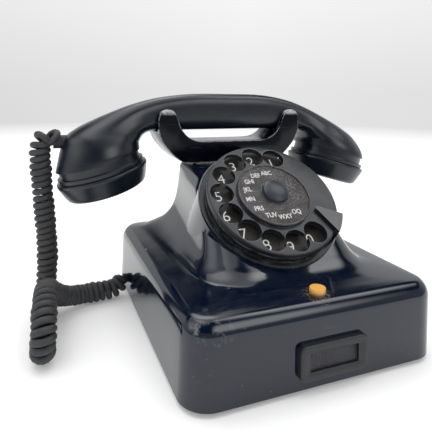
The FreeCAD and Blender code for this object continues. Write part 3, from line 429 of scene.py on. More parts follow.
def shape_tree(name, *labels):
    """Geometry node group that takes a shape and named numbers, with what goes in and the numbers' keys."""
    tree = bpy.data.node_groups.new(name, "GeometryNodeTree")
    tree.interface.new_socket("Geometry", in_out="INPUT", socket_type="NodeSocketGeometry")
    numbers = [tree.interface.new_socket(label, in_out="INPUT", socket_type=FLOAT) for label in labels]
    keys = [number.identifier for number in numbers]
    tree.interface.new_socket("Geometry", in_out="OUTPUT", socket_type="NodeSocketGeometry")
    return tree, node(tree, "NodeGroupInput").outputs, keys


def shape_by(piece, tree, keys, *values):
    step = piece.modifiers.new(tree.name, "NODES")
    step.node_group = tree
    for key, value in zip(keys, values):
        step[key] = value


def specks_build(tree, given):
    """Small chips of uneven size, scattered in patches."""
    cells = node(tree, "ShaderNodeTexVoronoi", {"Vector": given["Place"], "Scale": given["Scale"]})
    draws = node(tree, "ShaderNodeSeparateColor", {"Color": cells.outputs["Color"]}).outputs
    size = times(tree, draws[0], 0.32)
    finer = times(tree, given["Scale"], 6.0)
    ragged = times(tree, noise(tree, given["Place"], finer), 0.12)
    distance = maths(tree, "ADD", cells.outputs["Distance"], ragged)
    chip = maths(tree, "LESS_THAN", distance, maths(tree, "SUBTRACT", size, 0.04))
    kept = maths(tree, "LESS_THAN", draws[1], given["Share"])
    return times(tree, chip, kept)


def scratches_build(tree, given):
    """Fine hairlines in three directions."""
    masks = []
    for angles, seed in (((0.3, 0.2, 0.5), 0.0), ((0.9, -0.4, 1.7), 3.1), ((-0.5, 0.8, 2.6), 7.7)):
        turns = {"Vector": given["Place"], "Location": (seed, seed, seed), "Rotation": angles}
        drawn_out = node(tree, "ShaderNodeMapping", {**turns, "Scale": (1.0, 24.0, 24.0)}).outputs[0]
        line = noise(tree, drawn_out, given["Scale"], 1.0)
        masks.append(ramp(tree, line, 0.70, 0.76))
    both = maths(tree, "MAXIMUM", maths(tree, "MAXIMUM", masks[0], masks[1]), masks[2])
    patches = ramp(tree, noise(tree, given["Place"], 60.0), 0.42, 0.62)
    return times(tree, both, patches, given["Amount"])


def handling_build(tree, given):
    """Broad smears where hands and cloths have been, from 0 to 1."""
    broad = noise(tree, given["Place"], given["Scale"], 3.0, 0.55)
    fine = noise(tree, given["Place"], times(tree, given["Scale"], 7.0), 4.0, 0.6)
    mixed = maths(tree, "ADD", times(tree, broad, 0.7), times(tree, fine, 0.3))
    return ramp(tree, mixed, 0.35, 0.65)


def dust_build(tree, given):
    """Dust that settles on what faces up, more of it in uneven patches."""
    normal = node(tree, "ShaderNodeNewGeometry").outputs["Normal"]
    upward = axis(tree, normal, "Z")
    level = ramp(tree, upward, 0.55, 1.0)
    patch = ramp(tree, noise(tree, given["Place"], given["Scale"], 6.0, 0.7), 0.40, 0.75)
    return times(tree, level, patch, given["Amount"])


def edges_build(tree, given):
    """Rubbed edges: where a rounded normal leaves the true one, broken up by noise."""
    rounded = node(tree, "ShaderNodeBevel", {"Radius": given["Reach"]}, samples=6).outputs[0]
    true = node(tree, "ShaderNodeNewGeometry").outputs["Normal"]
    turn = vector_maths(tree, "DOT_PRODUCT", rounded, true)
    edge = ramp(tree, turn, 0.995, 0.90)
    broken = ramp(tree, noise(tree, given["Place"], given["Scale"], 5.0, 0.7), 0.38, 0.62)
    return times(tree, edge, broken, given["Amount"])


SPECKS = shared_effect("specks", specks_build, Scale=300.0, Share=0.1)
SCRATCHES = shared_effect("scratches", scratches_build, Scale=40.0, Amount=1.0)
HANDLING = shared_effect("handling", handling_build, Scale=25.0)
DUST = shared_effect("dust", dust_build, Scale=60.0, Amount=1.0)
WORN_EDGES = shared_effect("worn edges", edges_build, Reach=0.0006, Scale=200.0, Amount=1.0)


def new_material(name):
    """Material with its shader and the place on the piece."""
    material = bpy.data.materials.new(name)
    material.use_nodes = True
    tree = material.node_tree
    shader = tree.nodes["Principled BSDF"]
    place = tree.nodes.new("ShaderNodeTexCoord").outputs["Object"]
    return material, tree, shader, place


def feed(tree, shader, **sockets):
    """Joins or sets sockets of the shader by name."""
    for name, value in sockets.items():
        give(tree, shader.inputs[name.replace("_", " ")], value)


def bumped(tree, height, distance):
    inputs = {"Height": height, "Distance": distance, "Strength": 1.0}
    return node(tree, "ShaderNodeBump", inputs).outputs[0]


# ---- finishes
def moulded_gloss(name, colour, rough, dust=0.05, hairs=0.35, fine=0.05, chips=0.01, edge=0.35,
                  edge_colour=(0.11, 0.11, 0.115), edge_reach=0.0007, shine=0.5, marks=None):
    """Polished black moulding with smears, hairlines, dust, chips and rubbed edges."""
    material, tree, shader, place = new_material(name)
    smear = effect(tree, HANDLING, place, Scale=22.0)
    hair = effect(tree, SCRATCHES, place, Scale=38.0, Amount=hairs)
    grit = effect(tree, SPECKS, place, Scale=650.0, Share=fine)
    chipped = effect(tree, SPECKS, place, Scale=230.0, Share=chips)
    settled = effect(tree, DUST, place, Scale=90.0, Amount=dust)
    rubbed = effect(tree, WORN_EDGES, place, Reach=edge_reach, Scale=160.0, Amount=edge)
    layers = [
        (settled, (0.16, 0.155, 0.15)),
        (rubbed, edge_colour),
        (hair, (0.06, 0.062, 0.07)),
        (times(tree, grit, 0.45), (0.12, 0.13, 0.15)),
        (chipped, (0.3, 0.3, 0.3)),
    ]
    own_marks = marks(tree, place) if marks else []
    base = colour
    for mask, layer_colour in layers + own_marks:
        base = blend_colours(tree, mask, base, layer_colour)
    dull = maths(tree, "MAXIMUM", chipped, settled)
    for mask, _ in own_marks:
        dull = maths(tree, "MAXIMUM", dull, mask)
    dull = times(tree, dull, 0.35)
    finish = maths(tree, "ADD", blend_values(tree, smear, *rough), dull, clamp=True)
    peel = maths(tree, "ADD", noise(tree, place, 60.0, 1.0), times(tree, hair, -0.15))
    feed(tree, shader, Base_Color=base, Roughness=finish, Specular_IOR_Level=shine, IOR=1.56)
    feed(tree, shader, Normal=bumped(tree, peel, 0.00005))
    return material


def near(tree, place, middle, inner, outer):
    """1 within the inner radius of a point in millimetres, falling to 0 at the outer radius."""
    return ramp(tree, vector_maths(tree, "DISTANCE", place, mm(*middle)), outer * MM, inner * MM)


def housing_marks(tree, place):
    """Dirt round the foot of the button and the knocked front left corner."""
    crumbs = ramp(tree, noise(tree, place, 900.0, 3.0, 0.7), 0.50, 0.60)
    dirt = times(tree, near(tree, place, (-0.6, -70, 41), 4.4, 8.2), crumbs)
    knocks = ramp(tree, noise(tree, place, 330.0, 4.0, 0.65), 0.53, 0.66)
    corner = times(tree, near(tree, place, (-53, -78, 36), 1.5, 7.5), knocks)
    lip = times(tree, near(tree, place, (-60, -74, 37), 2.0, 8.0), knocks)
    return [(dirt, (0.16, 0.14, 0.11)), (maths(tree, "MAXIMUM", corner, lip), (0.12, 0.13, 0.145))]


def horn_marks(tree, place):
    """Bare metal where the handset has rubbed the tops of the horns."""
    height = axis(tree, place, "Z")
    broken = ramp(tree, noise(tree, place, 240.0, 4.0, 0.6), 0.30, 0.55)
    tops = times(tree, ramp(tree, height, 0.1185, 0.1205), broken)
    return [(tops, (0.50, 0.52, 0.54))]


def painted(name, colour, rough_low, rough_high, edge=0.6, edge_colour=(0.2, 0.2, 0.2), grain=300.0,
            grain_depth=0.00002):
    """Fine-grained black with smears, hairlines and rubbed edges."""
    material, tree, shader, place = new_material(name)
    smear = effect(tree, HANDLING, place, Scale=60.0)
    hair = effect(tree, SCRATCHES, place, Scale=60.0, Amount=0.5)
    rubbed = effect(tree, WORN_EDGES, place, Reach=0.0005, Scale=260.0, Amount=edge)
    base = blend_colours(tree, rubbed, colour, edge_colour)
    base = blend_colours(tree, hair, base, tuple(min(1.0, c * 2.5 + 0.02) for c in colour))
    rough = blend_values(tree, smear, rough_low, rough_high)
    feed(tree, shader, Base_Color=base, Roughness=rough)
    feed(tree, shader, Normal=bumped(tree, noise(tree, place, grain, 3.0), grain_depth))
    return material


def metal(name, colour, rough_low, rough_high, scale=120.0):
    """Bare metal with a drawn grain and tarnish."""
    material, tree, shader, place = new_material(name)
    drawn = node(tree, "ShaderNodeMapping", {"Vector": place, "Scale": (1.0, 1.0, 12.0)}).outputs[0]
    grain = noise(tree, drawn, scale, 4.0, 0.6)
    tarnish = effect(tree, HANDLING, place, Scale=70.0)
    base = blend_colours(tree, tarnish, colour, tuple(c * 0.6 for c in colour))
    rough = blend_values(tree, grain, rough_low, rough_high)
    feed(tree, shader, Base_Color=base, Roughness=rough, Metallic=1.0, Normal=bumped(tree, grain, 0.00002))
    return material


def matte(name, colour, second, rough=0.7, scale=150.0, depth=0.00008, shine=0.5):
    """Dull surface mottled in two colours, with dust."""
    material, tree, shader, place = new_material(name)
    mottle = noise(tree, place, scale, 5.0, 0.65)
    settled = effect(tree, DUST, place, Scale=120.0, Amount=0.35)
    base = blend_colours(tree, ramp(tree, mottle, 0.35, 0.7), colour, second)
    base = blend_colours(tree, settled, base, (0.2, 0.19, 0.18))
    feed(tree, shader, Base_Color=base, Roughness=rough, Specular_IOR_Level=shine)
    feed(tree, shader, Normal=bumped(tree, mottle, depth))
    return material


def clear(name, haze, scratch_haze, rough):
    """Clear plastic sheet, hazed by scratches."""
    material, tree, shader, place = new_material(name)
    hair = effect(tree, SCRATCHES, place, Scale=60.0, Amount=1.0)
    cloud = ramp(tree, noise(tree, place, 110.0, 2.0), 0.35, 0.7, 0.03, 0.03 + haze)
    alpha = maths(tree, "ADD", cloud, times(tree, hair, scratch_haze), clamp=True)
    feed(tree, shader, Base_Color=(0.40, 0.40, 0.42), Roughness=rough, Alpha=alpha)
    return material


def amber_button(name):
    """Amber moulding, darker towards its foot."""
    material, tree, shader, place = new_material(name)
    height = axis(tree, place, "Z")
    uneven = times(tree, noise(tree, place, 500.0, 4.0), 0.0018)
    # darker towards the foot, set by height alone
    darker_foot = ramp(tree, maths(tree, "ADD", height, uneven), 0.0440, 0.0419)
    warm = blend_colours(tree, noise(tree, place, 260.0, 3.0), (0.64, 0.31, 0.045), (0.80, 0.46, 0.11))
    base = blend_colours(tree, darker_foot, warm, (0.10, 0.05, 0.02))
    rough = blend_values(tree, effect(tree, HANDLING, place, Scale=150.0), 0.3, 0.5)
    feed(tree, shader, Base_Color=base, Roughness=rough, Subsurface_Weight=0.15, Subsurface_Scale=0.002)
    return material


def rubber_cord(name):
    """Matte rubbery sleeve with dust in its grooves."""
    material, tree, shader, place = new_material(name)
    mottle = noise(tree, place, 260.0, 5.0, 0.7)
    settled = effect(tree, DUST, place, Scale=200.0, Amount=0.5)
    base = blend_colours(tree, ramp(tree, mottle, 0.3, 0.7), (0.026, 0.0270, 0.0295), (0.050, 0.051, 0.054))
    base = blend_colours(tree, settled, base, (0.10, 0.098, 0.095))
    feed(tree, shader, Base_Color=base, Roughness=blend_values(tree, mottle, 0.55, 0.75))
    feed(tree, shader, Normal=bumped(tree, mottle, 0.0001))
    return material


def white_figures(name, colour, wear):
    """Painted or printed figures, worn thin in places."""
    material, tree, shader, place = new_material(name)
    thin = ramp(tree, noise(tree, place, 900.0, 4.0, 0.7), 0.35, 0.6)
    base = blend_colours(tree, times(tree, thin, wear), colour, (0.22, 0.22, 0.23))
    feed(tree, shader, Base_Color=base, Roughness=0.5)
    return material


def make_finishes():
    """Finish of each material slot, and of the card, the digits and the letters."""
    return {
        "black_gloss": moulded_gloss(
            "housing black", (0.0008, 0.0044, 0.0155), (0.06, 0.13), marks=housing_marks),
        "handset_gloss": moulded_gloss(
            "handset black", (0.0034, 0.0066, 0.0135), (0.25, 0.40), 0.05, 0.25, 0.03, 0.004, shine=0.46),
        "cradle_gloss": moulded_gloss(
            "cradle black", (0.0006, 0.0014, 0.0045), (0.10, 0.20), 0.03, 0.2, 0.02, 0.006, edge=1.6,
            edge_colour=(0.42, 0.43, 0.45), edge_reach=0.0010, shine=0.22, marks=horn_marks),
        "wheel_satin": painted(
            "dial wheel black", (0.0085, 0.0100, 0.0150), 0.30, 0.42, 0.7, (0.30, 0.30, 0.31)),
        "ring_black": painted(
            "dial ring black", (0.006, 0.0075, 0.011), 0.20, 0.30, 0.5, (0.2, 0.2, 0.2), 40.0),
        "stop_black": painted("finger stop black", (0.007, 0.0085, 0.011), 0.12, 0.24, 0.4),
        # near-black enamel, its colour darkened further to paint the shade under the finger wheel
        "plate_enamel": matte(
            "number plate enamel and painted shade", (0.0035, 0.0033, 0.003), (0.016, 0.014, 0.012), 0.5, 300.0, 0.00003, 0.25),
        "card": matte(
            "dial card brown", (0.014, 0.0105, 0.010), (0.028, 0.021, 0.019), 0.6, 400.0, 0.00002, 0.3),
        "clear_cover": clear("clear cover", 0.06, 0.12, 0.20),
        "clear_sheet": clear("clear card sheet", 0.02, 0.01, 0.22),
        "knob_gloss": painted(
            "dial knob black", (0.016, 0.022, 0.033), 0.26, 0.45, 0.4, (0.25, 0.25, 0.27), 200.0, 0.0001),
        "amber": amber_button("button amber"),
        "dark_frame": painted(
            "card frame grey", (0.012, 0.0130, 0.0175), 0.34, 0.5, 0.4, (0.10, 0.10, 0.11), 500.0, 0.00006),
        "label_paper": matte(
            "label paper", (0.009, 0.0095, 0.017), (0.02, 0.018, 0.026), 0.6, 500.0, 0.00002, 0.3),
        "gland_black": matte("gland black", (0.008, 0.008, 0.009), (0.02, 0.02, 0.02), 0.55),
        "cord_charcoal": rubber_cord("cord charcoal"),
        "foot_rubber": matte("foot rubber", (0.02, 0.02, 0.02), (0.04, 0.04, 0.04), 0.85),
        "bare_steel": metal("plated steel", (0.48, 0.48, 0.47), 0.25, 0.45),
        "screw_steel": metal("screw steel", (0.52, 0.52, 0.52), 0.2, 0.4),
        "spring_steel": metal("spring steel", (0.42, 0.42, 0.44), 0.2, 0.32),
        "contact_brass": metal("contact brass", (0.62, 0.44, 0.17), 0.22, 0.4),
        "brown_insulator": matte("brown laminate", (0.11, 0.045, 0.02), (0.16, 0.07, 0.035), 0.5, 220.0),
        "gong_metal": metal("nickelled gong", (0.62, 0.60, 0.54), 0.12, 0.25, 60.0),
        "coil_winding": matte("varnished winding", (0.16, 0.05, 0.02), (0.25, 0.09, 0.04), 0.4, 600.0),
        "capacitor_can": metal("dull can", (0.5, 0.5, 0.49), 0.35, 0.55),
        "white_paint": white_figures("figure white", (0.85, 0.85, 0.82), 0.35),
        "letter_white": white_figures("letter white", (0.80, 0.80, 0.78), 0.25),
    }


FINISHES = make_finishes()
handset_cord()


# ---- housing
DIAL_Y, DIAL_Z, DIAL_ELEVATION = -24.4, 77.35, 51.2
SEAT_DEPTH = 8.6
NECK, NECK_REAR = 30.0, 61.5
WALL = 3.0
HALF_WIDTH, HALF_DEPTH, CORNER = 67.5, 80.2, 14
WALL_INSETS = [(2.5, 0.0), (10.0, 0.25), (20.0, 0.58), (28.0, 0.85)]
EDGE_HEIGHT, EDGE_INSET, EDGE_ROUND = 32.3, 0.99, 9
CORNER_STEPS, SIDE_STEPS, END_STEPS = 12, 18, 14
HEAD_RADIUS, HEAD_LENGTH = 40.7, 44
WELL_RADIUS, WELL_LOW, WELL_HIGH = 37.6, -48, 20
HOUSING_HOLES = [
    # name, radius, start, end
    ("button_hole", 3.85, (-0.6, -70, 33), (-0.6, -70, 48)),
    ("plunger_hole", 3.55, (0, 47, 78), (0, 47, 90)),
    ("gland_hole", 2.0, (-72, 48.8, 11), (-61, 48.8, 11)),
    ("line_hole", 4.0, (24, 74, 10), (24, 84, 10)),
]
POST_RADIUS, POST_LOW, POST_HIGH = 4.5, 4.7, 37.3
POST_PLACES = [(x, y) for x in (-54.5, 54.5) for y in (-66, 66)]


def on_dial():
    """From the dial's own axes (+Z out of it) to the frame."""
    turn = Matrix.Rotation(math.radians(90 - DIAL_ELEVATION), 4, "X")
    return Matrix.Translation(mm(0, DIAL_Y, DIAL_Z)) @ turn


def seat_y(height):
    """Depth of the sloping front at this height."""
    lean = math.radians(DIAL_ELEVATION)
    rise = height - DIAL_Z + SEAT_DEPTH * math.sin(lean)
    return DIAL_Y + SEAT_DEPTH * math.cos(lean) + rise * math.tan(lean)


def block_rows():
    """Rows of outline_ring up the drafted wall and round its edge."""
    insets = list(WALL_INSETS)
    for degrees in range(0, 61, 6):
        turn = math.radians(degrees)
        inset = EDGE_INSET + EDGE_ROUND * (1 - math.cos(turn))
        insets.append((EDGE_HEIGHT + EDGE_ROUND * math.sin(turn), inset))
    rows = []
    for height, inset in insets:
        half, depth, corner = HALF_WIDTH - inset, HALF_DEPTH - inset, CORNER - inset
        rows.append((height, half, half, -depth, depth, corner, corner))
    return rows


def slope_rows():
    """Rows of outline_ring up the deck, the cove and the neck."""
    slopes = [
        (40.45, 60.9, 60.2, -73.2, 73.6, 9.5, 9.0),
        (40.75, 59.8, 57.5, -70.4, 72.9, 12.5, 9.4),
        (41.15, 58.2, 53.0, -65.0, 72.0, 17.0, 10.2),
        (41.65, 56.2, 48.6, -60.0, 70.7, 21.5, 11.0),
        (42.30, 54.0, 47.0, -56.8, 69.5, 23.8, 11.8),
    ]
    cove = [
        # height, half rear past the neck, half front, flare, rear past the neck, rear radius, front radius
        (43.3, 21.6, 46.4, 1.1, 8.1, 12.5, 23.4),
        (44.6, 18.8, 46.0, 0.3, 7.0, 13.0, 23.0),
        (46.1, 15.9, 45.3, 0.0, 5.8, 13.5, 21.8),
        (48.4, 12.0, 44.2, 0.0, 4.2, 14.0, 19.5),
        (52.0, 8.2, 42.9, 0.0, 2.8, 14.0, 17.0),
        (56.0, 5.4, 42.0, 0.0, 1.8, 14.0, 15.0),
        (61.0, 3.3, 41.2, 0.0, 1.0, 14.0, 13.0),
        (67.0, 1.8, 40.5, 0.0, 0.5, 14.0, 11.0),
        (75.0, 0.6, 39.2, 0.0, 0.1, 14.0, 9.0),
        (80.0, 0.2, 37.2, 0.0, 0.0, 14.0, 8.0),
        (85.5, 0.0, 31.8, 0.0, 0.0, 14.0, 8.0),
        (86.5, -0.9, 30.0, 0.0, -0.9, 13.6, 8.0),
    ]
    for height, out, front, flare, back, rear_round, front_round in cove:
        front_y = seat_y(height) - flare
        slopes.append((height, NECK + out, front, front_y, NECK_REAR + back, front_round, rear_round))
    return slopes


def outline_ring(row, inward):
    """Four-sided outline with rounded corners, with the same count of points on every row.

    A row is (height, half rear, half front, front y, rear y, front radius, rear radius).
    """
    height, half_rear, half_front, front_y, rear_y, front_round, rear_round = row
    right = [(half_front - inward, front_y + inward), (half_rear - inward, rear_y - inward)]
    corners = [Vector(c) for c in right] + [Vector((-x, y)) for x, y in reversed(right)]
    radii = [max(r - inward, 1.5) for r in (front_round, rear_round, rear_round, front_round)]
    arcs = []
    for i in range(4):
        here = corners[i]
        back = (corners[i - 1] - here).normalized()
        ahead = (corners[(i + 1) % 4] - here).normalized()
        half = back.angle(ahead) / 2
        centre = here + (back + ahead).normalized() * radii[i] / math.sin(half)
        first = (here + back * radii[i] / math.tan(half)) - centre
        sweep = math.pi - 2 * half
        turns = [sweep * k / CORNER_STEPS for k in range(CORNER_STEPS + 1)]
        arcs.append([centre + Matrix.Rotation(turn, 2) @ first for turn in turns])
    ring = []
    for i in range(4):
        following = arcs[(i + 1) % 4][0]
        steps = SIDE_STEPS if i % 2 == 0 else END_STEPS
        ring += arcs[i]
        ring += [arcs[i][-1].lerp(following, k / steps) for k in range(1, steps)]
    return [mm(p.x, p.y, height - inward) for p in ring]


def housing_form(name, inward):
    rows = block_rows() + smooth_rows(slope_rows(), 5)
    return ring_shell(name, [outline_ring(row, inward) for row in rows])


def make_housing():
    shell = housing_form("housing_shell", 0.0)
    head = drum("head", HEAD_RADIUS, -SEAT_DEPTH - HEAD_LENGTH, -SEAT_DEPTH, 160)
    combined(shell, "UNION", place_mesh(head, on_dial()))
    inner = housing_form("inner", WALL)
    well = place_mesh(drum("well", WELL_RADIUS, WELL_LOW, WELL_HIGH, 160), on_dial())
    combined(shell, "DIFFERENCE", inner, well, *[rod(*hole) for hole in HOUSING_HOLES])
    posts = [rod("post", POST_RADIUS, (x, y, POST_LOW), (x, y, POST_HIGH)) for x, y in POST_PLACES]
    combined(shell, "UNION", *posts)
    return soften(shell, 34)


# ---- handset
CRADLE_Y = 47.0
CAP_X, CAP_Z, CAP_TILT = 85.0, 91.0, 16.0
BODY_RIM = 26.4
CAP_HOLLOW = [(0, -1.0), (24.0, -1.0), (24.0, 0.0), (21.4, 5.0), (15.6, 12.0), (0, 12.0)]
CAP_PROFILE = [
    # radius, height, round
    (22.0, 0.0, 0), (25.0, 0.0, 0), (25.0, -4.6, 0.2), (26.8, -4.8, 0.35), (26.8, -7.1, 0.35),
    (26.2, -7.4, 0.2), (28.1, -7.9, 0.5), (28.3, -9.3, 0.8), (27.7, -11.0, 1.0), (25.4, -17.2, 3.0),
    (24.2, -19.6, 1.6), (21.2, -20.5, 1.2), (16.4, -20.5, 0.8), (0.0, -19.5, 0), (0.0, -17.1, 0),
    (22.0, -17.1, 0),
]
UNDER_LINE = [
    # x and height of the underside, from beside the cap to beside the middle
    (59.9, 99.6), (60.0, 101.0), (59.7, 102.4), (59.1, 103.8), (58.2, 105.3), (56.6, 106.8), (54.0, 107.9),
    (50.0, 108.5), (44.0, 108.6), (34.0, 108.6),
]
LEFT_OVER_LINE = [
    # x, height and half depth of the top
    (109.4, 88.0, 26.2), (108.4, 93.0, 25.2), (106.7, 99.5, 23.4), (104.3, 105.0, 21.0), (97.8, 110.2, 18.2),
    (88.0, 115.2, 15.6), (76.5, 120.2, 13.2), (64.5, 124.8, 11.3), (50.0, 128.8, 10.1), (36.0, 131.0, 10.0),
]
RIGHT_OVER_LINE = [
    (109.4, 88.0, 26.0), (107.3, 92.5, 25.0), (104.0, 97.5, 23.2), (99.0, 102.6, 20.8), (92.5, 107.2, 18.2),
    (84.5, 112.0, 15.6), (74.5, 117.2, 13.4), (63.5, 122.4, 11.4), (50.0, 127.5, 10.1), (36.0, 130.6, 10.0),
]
MIDDLE_ROW = (0, 108.6, 0, 132.3, 10.0, 3.1)


def cap_point(offset):
    """(x, z) of a cap's seat in the middle plane, offset inward."""
    tilt = math.radians(CAP_TILT)
    return CAP_X - offset * math.cos(tilt), CAP_Z + offset * math.sin(tilt)


def handset_rows(side):
    """Rows of handset_ring of one half, from the cap inward; side is -1 on the left and +1 on the right."""
    under = [cap_point(BODY_RIM)] + UNDER_LINE
    over = [(*cap_point(-BODY_RIM), BODY_RIM)] + (LEFT_OVER_LINE if side < 0 else RIGHT_OVER_LINE)
    rows = []
    for k, ((low_x, low_z), (x, z, half)) in enumerate(zip(under, over)):
        rows.append((side * low_x, low_z, side * x, z, half, 2.0 + 1.1 * max(0, k - 3) / 7))
    return rows


def handset_ring(row, count=72):
    """Ring of one row: (low x, low z, high x, high z, half depth, squareness)."""
    low_x, low_z, high_x, high_z, half, fullness = row
    ring = []
    for k in range(count):
        turn = 2 * math.pi * k / count
        along = math.copysign(abs(math.cos(turn)) ** (2 / fullness), math.cos(turn))
        across = math.copysign(abs(math.sin(turn)) ** (2 / fullness), math.sin(turn))
        x = (low_x + high_x) / 2 + (low_x - high_x) / 2 * along
        z = (low_z + high_z) / 2 + (low_z - high_z) / 2 * along
        ring.append(mm(x, CRADLE_Y + half * across, z))
    return ring


def in_cap_frame(side):
    """From a cap's own axes (+Z away from its face) to the frame."""
    turn = Matrix.Rotation(math.radians(side * CAP_TILT), 4, "Y")
    return Matrix.Translation(mm(side * CAP_X, CRADLE_Y, CAP_Z)) @ turn


def make_handset():
    rows = handset_rows(-1) + [MIDDLE_ROW] + handset_rows(1)[::-1]
    body = ring_shell("handset_body", [handset_ring(row) for row in smooth_rows(rows, 5)])
    for side in (-1, 1):
        combined(body, "DIFFERENCE", place_mesh(turned("hollow", CAP_HOLLOW), in_cap_frame(side)))
    combined(body, "DIFFERENCE", rod("gland_hole", 4.0, (-102.2, 47, 102.5), (-111.6, 47, 102.5)))
    return soften(body, 34)


def arc_profile(points, steps=4):
    """Rounds each marked corner (radius, height, round) of a profile."""
    out = []
    for i, (r, z, round_) in enumerate(points):
        here = Vector((r, z))
        if round_ == 0:
            out.append((r, z))
            continue
        back = Vector(points[i - 1][:2]) - here
        ahead = Vector(points[(i + 1) % len(points)][:2]) - here
        reach = min(round_, back.length * 0.45, ahead.length * 0.45)
        start, end = here + back.normalized() * reach, here + ahead.normalized() * reach
        for k in range(steps + 1):
            t = k / steps
            point = start.lerp(here, t).lerp(here.lerp(end, t), t)
            out.append((point.x, point.y))
    return out


def make_cap(name, side):
    """Screwed cap: groove, raised band, wider rim and a rounded bowl with a pierced face."""
    cap = turned(name, arc_profile(CAP_PROFILE), 128)
    return place_mesh(pierced(cap), in_cap_frame(side))


def pierced(cap):
    """Cuts the ring of sound holes and the middle one."""
    tree, given, keys = shape_tree("sound holes", "Ring radius", "Hole radius")
    circle = node(tree, "GeometryNodeMeshCircle", {"Vertices": 6, "Radius": given["Ring radius"]})
    middle = node(tree, "GeometryNodeMeshLine", {"Count": 1})
    places = node(tree, "GeometryNodeJoinGeometry")
    tree.links.new(circle.outputs[0], places.inputs[0])
    tree.links.new(middle.outputs[0], places.inputs[0])
    size = {"Vertices": 24, "Radius": given["Hole radius"], "Depth": 0.012}
    punch = node(tree, "GeometryNodeMeshCylinder", size).outputs[0]
    down = node(tree, "GeometryNodeTransform", {"Geometry": punch, "Translation": (0, 0, -0.019)}).outputs[0]
    at = {"Points": places.outputs[0], "Instance": down}
    holes = node(tree, "GeometryNodeInstanceOnPoints", at).outputs[0]
    real = node(tree, "GeometryNodeRealizeInstances", {"Geometry": holes}).outputs[0]
    cut = node(tree, "GeometryNodeMeshBoolean", {"Mesh 1": given["Geometry"], "Mesh 2": real},
               operation="DIFFERENCE", solver="MANIFOLD").outputs[0]
    gloss = {"Geometry": cut, "Material": FINISHES["handset_gloss"]}
    node(tree, "NodeGroupOutput", {0: node(tree, "GeometryNodeSetMaterial", gloss).outputs[0]})
    shape_by(cap, tree, keys, 8 * MM, 1.4 * MM)
    return soften(bake_modifiers(cap), 30)


# ---- cradle
PLATE_APART = 13.5
PLATE_THICK = 3
HORN_OUTLINE = [
    # x, height, round of the right half of a horned plate, from its foot round to the saddle
    (33.0, 88.0, 1.5), (35.4, 89.4, 1.5), (40.6, 93.4, 3.0), (46.8, 100.7, 3.0), (49.8, 107.5, 4.0),
    (50.0, 116.5, 3.0), (48.4, 120.7, 2.4), (44.5, 122.5, 2.0), (40.1, 121.6, 2.0), (37.6, 116.9, 2.4),
    (35.6, 110.5, 3.0), (31.6, 105.3, 3.0), (25.6, 102.1, 4.0), (19.2, 101.5, 4.0),
]
PLUNGER_BARS = [
    # name, radius, foot, top
    ("plunger", 3.5, 54, 90),
    ("collar", 6.5, 74, 76),
    ("tip", 2.0, 50, 55),
]


def make_cradle():
    corners = HORN_OUTLINE + [(-x, z, round_) for x, z, round_ in reversed(HORN_OUTLINE)]
    flat = arc_profile(corners, 5)
    front, rear = CRADLE_Y - PLATE_APART, CRADLE_Y + PLATE_APART
    fork = ring_shell("cradle_plates", [[mm(x, y, z) for x, z in flat] for y in (front, rear)])
    channel = box("channel", (-80, front + PLATE_THICK, 108), (80, rear - PLATE_THICK, 200))
    combined(fork, "DIFFERENCE", channel)
    rim = fork.modifiers.new("rim", "BEVEL")
    rim.width = 0.9 * MM
    rim.segments = 3
    rim.limit_method = "ANGLE"
    rim.angle_limit = math.radians(50)
    bake_modifiers(fork)
    bars = [rod(name, r, (0, CRADLE_Y, foot), (0, CRADLE_Y, top)) for name, r, foot, top in PLUNGER_BARS]
    combined(fork, "UNION", *bars)
    return soften(fork, 40)


# ---- dial figures
def lettering(name, words, font_scale, thickness, matrix, stretch=1.0):
    """One word made of mesh, lying in a plane and placed by a matrix."""
    curve = bpy.data.curves.new(name, "FONT")
    curve.body = words
    curve.size = font_scale * MM
    curve.align_x = "CENTER"
    curve.align_y = "CENTER"
    curve.offset = thickness * MM
    curve.resolution_u = 3
    holder = linked(name, curve)
    mesh = evaluated_mesh(holder)
    drop(holder)
    mesh.transform(Matrix.Diagonal((stretch, 1, 1, 1)))
    mesh.transform(matrix)
    return linked(name, mesh)


def joined(name, pieces):
    work = bmesh.new()
    for piece in pieces:
        work.from_mesh(piece.data)
    mesh = bpy.data.meshes.new(name)
    work.to_mesh(mesh)
    work.free()
    drop(*pieces)
    return linked(name, mesh)


def polar(radius, degrees, z=0.0):
    return mm(radius * math.cos(math.radians(degrees)), radius * math.sin(math.radians(degrees)), z)


PLATE_FACE, CARD_FACE = -5.2, 1.3
DIGIT_RING, DIGIT_HEIGHT = 30.0, 9.5
FIRST_DIGIT, DIGIT_APART = 67.5, 25.35
LETTER_RING, LETTER_HEIGHT = 15.2, 4.2
LETTER_ANGLES = {
    "ABC": 86.6, "DEF": 115, "GHI": 140, "JKL": 163, "MN": 188, "PRS": 214.6, "TUV": 242.2, "WXY": 272.7,
    "OQ": 303.4,
}


def make_digits():
    pieces = []
    for k in range(10):
        degrees = FIRST_DIGIT + k * DIGIT_APART
        place = on_dial() @ Matrix.Translation(polar(DIGIT_RING, degrees, PLATE_FACE + 0.03))
        pieces.append(lettering(f"digit_{k}", str((k + 1) % 10), DIGIT_HEIGHT, -0.08, place))
    return joined("dial_digits", pieces)


def make_letters():
    pieces = []
    for word, degrees in LETTER_ANGLES.items():
        place = on_dial() @ Matrix.Translation(polar(LETTER_RING, degrees, CARD_FACE + 0.02))
        pieces.append(lettering(f"letters_{word}", word, LETTER_HEIGHT, 0.07, place, 0.82))
    return joined("dial_letters", pieces)


# ---- clear sheets and the button's spring
SHEET_GAP = 0.04


def solid_copy(node_name, name):
    """A solid's mesh as a piece of its own, with its loose triangles joined."""
    mesh = frame["nodes"][node_name].data.copy()
    work = bmesh.new()
    work.from_mesh(mesh)
    bmesh.ops.remove_doubles(work, verts=work.verts, dist=1e-6)
    work.to_mesh(mesh)
    work.free()
    return soften(linked(name, mesh), 30)


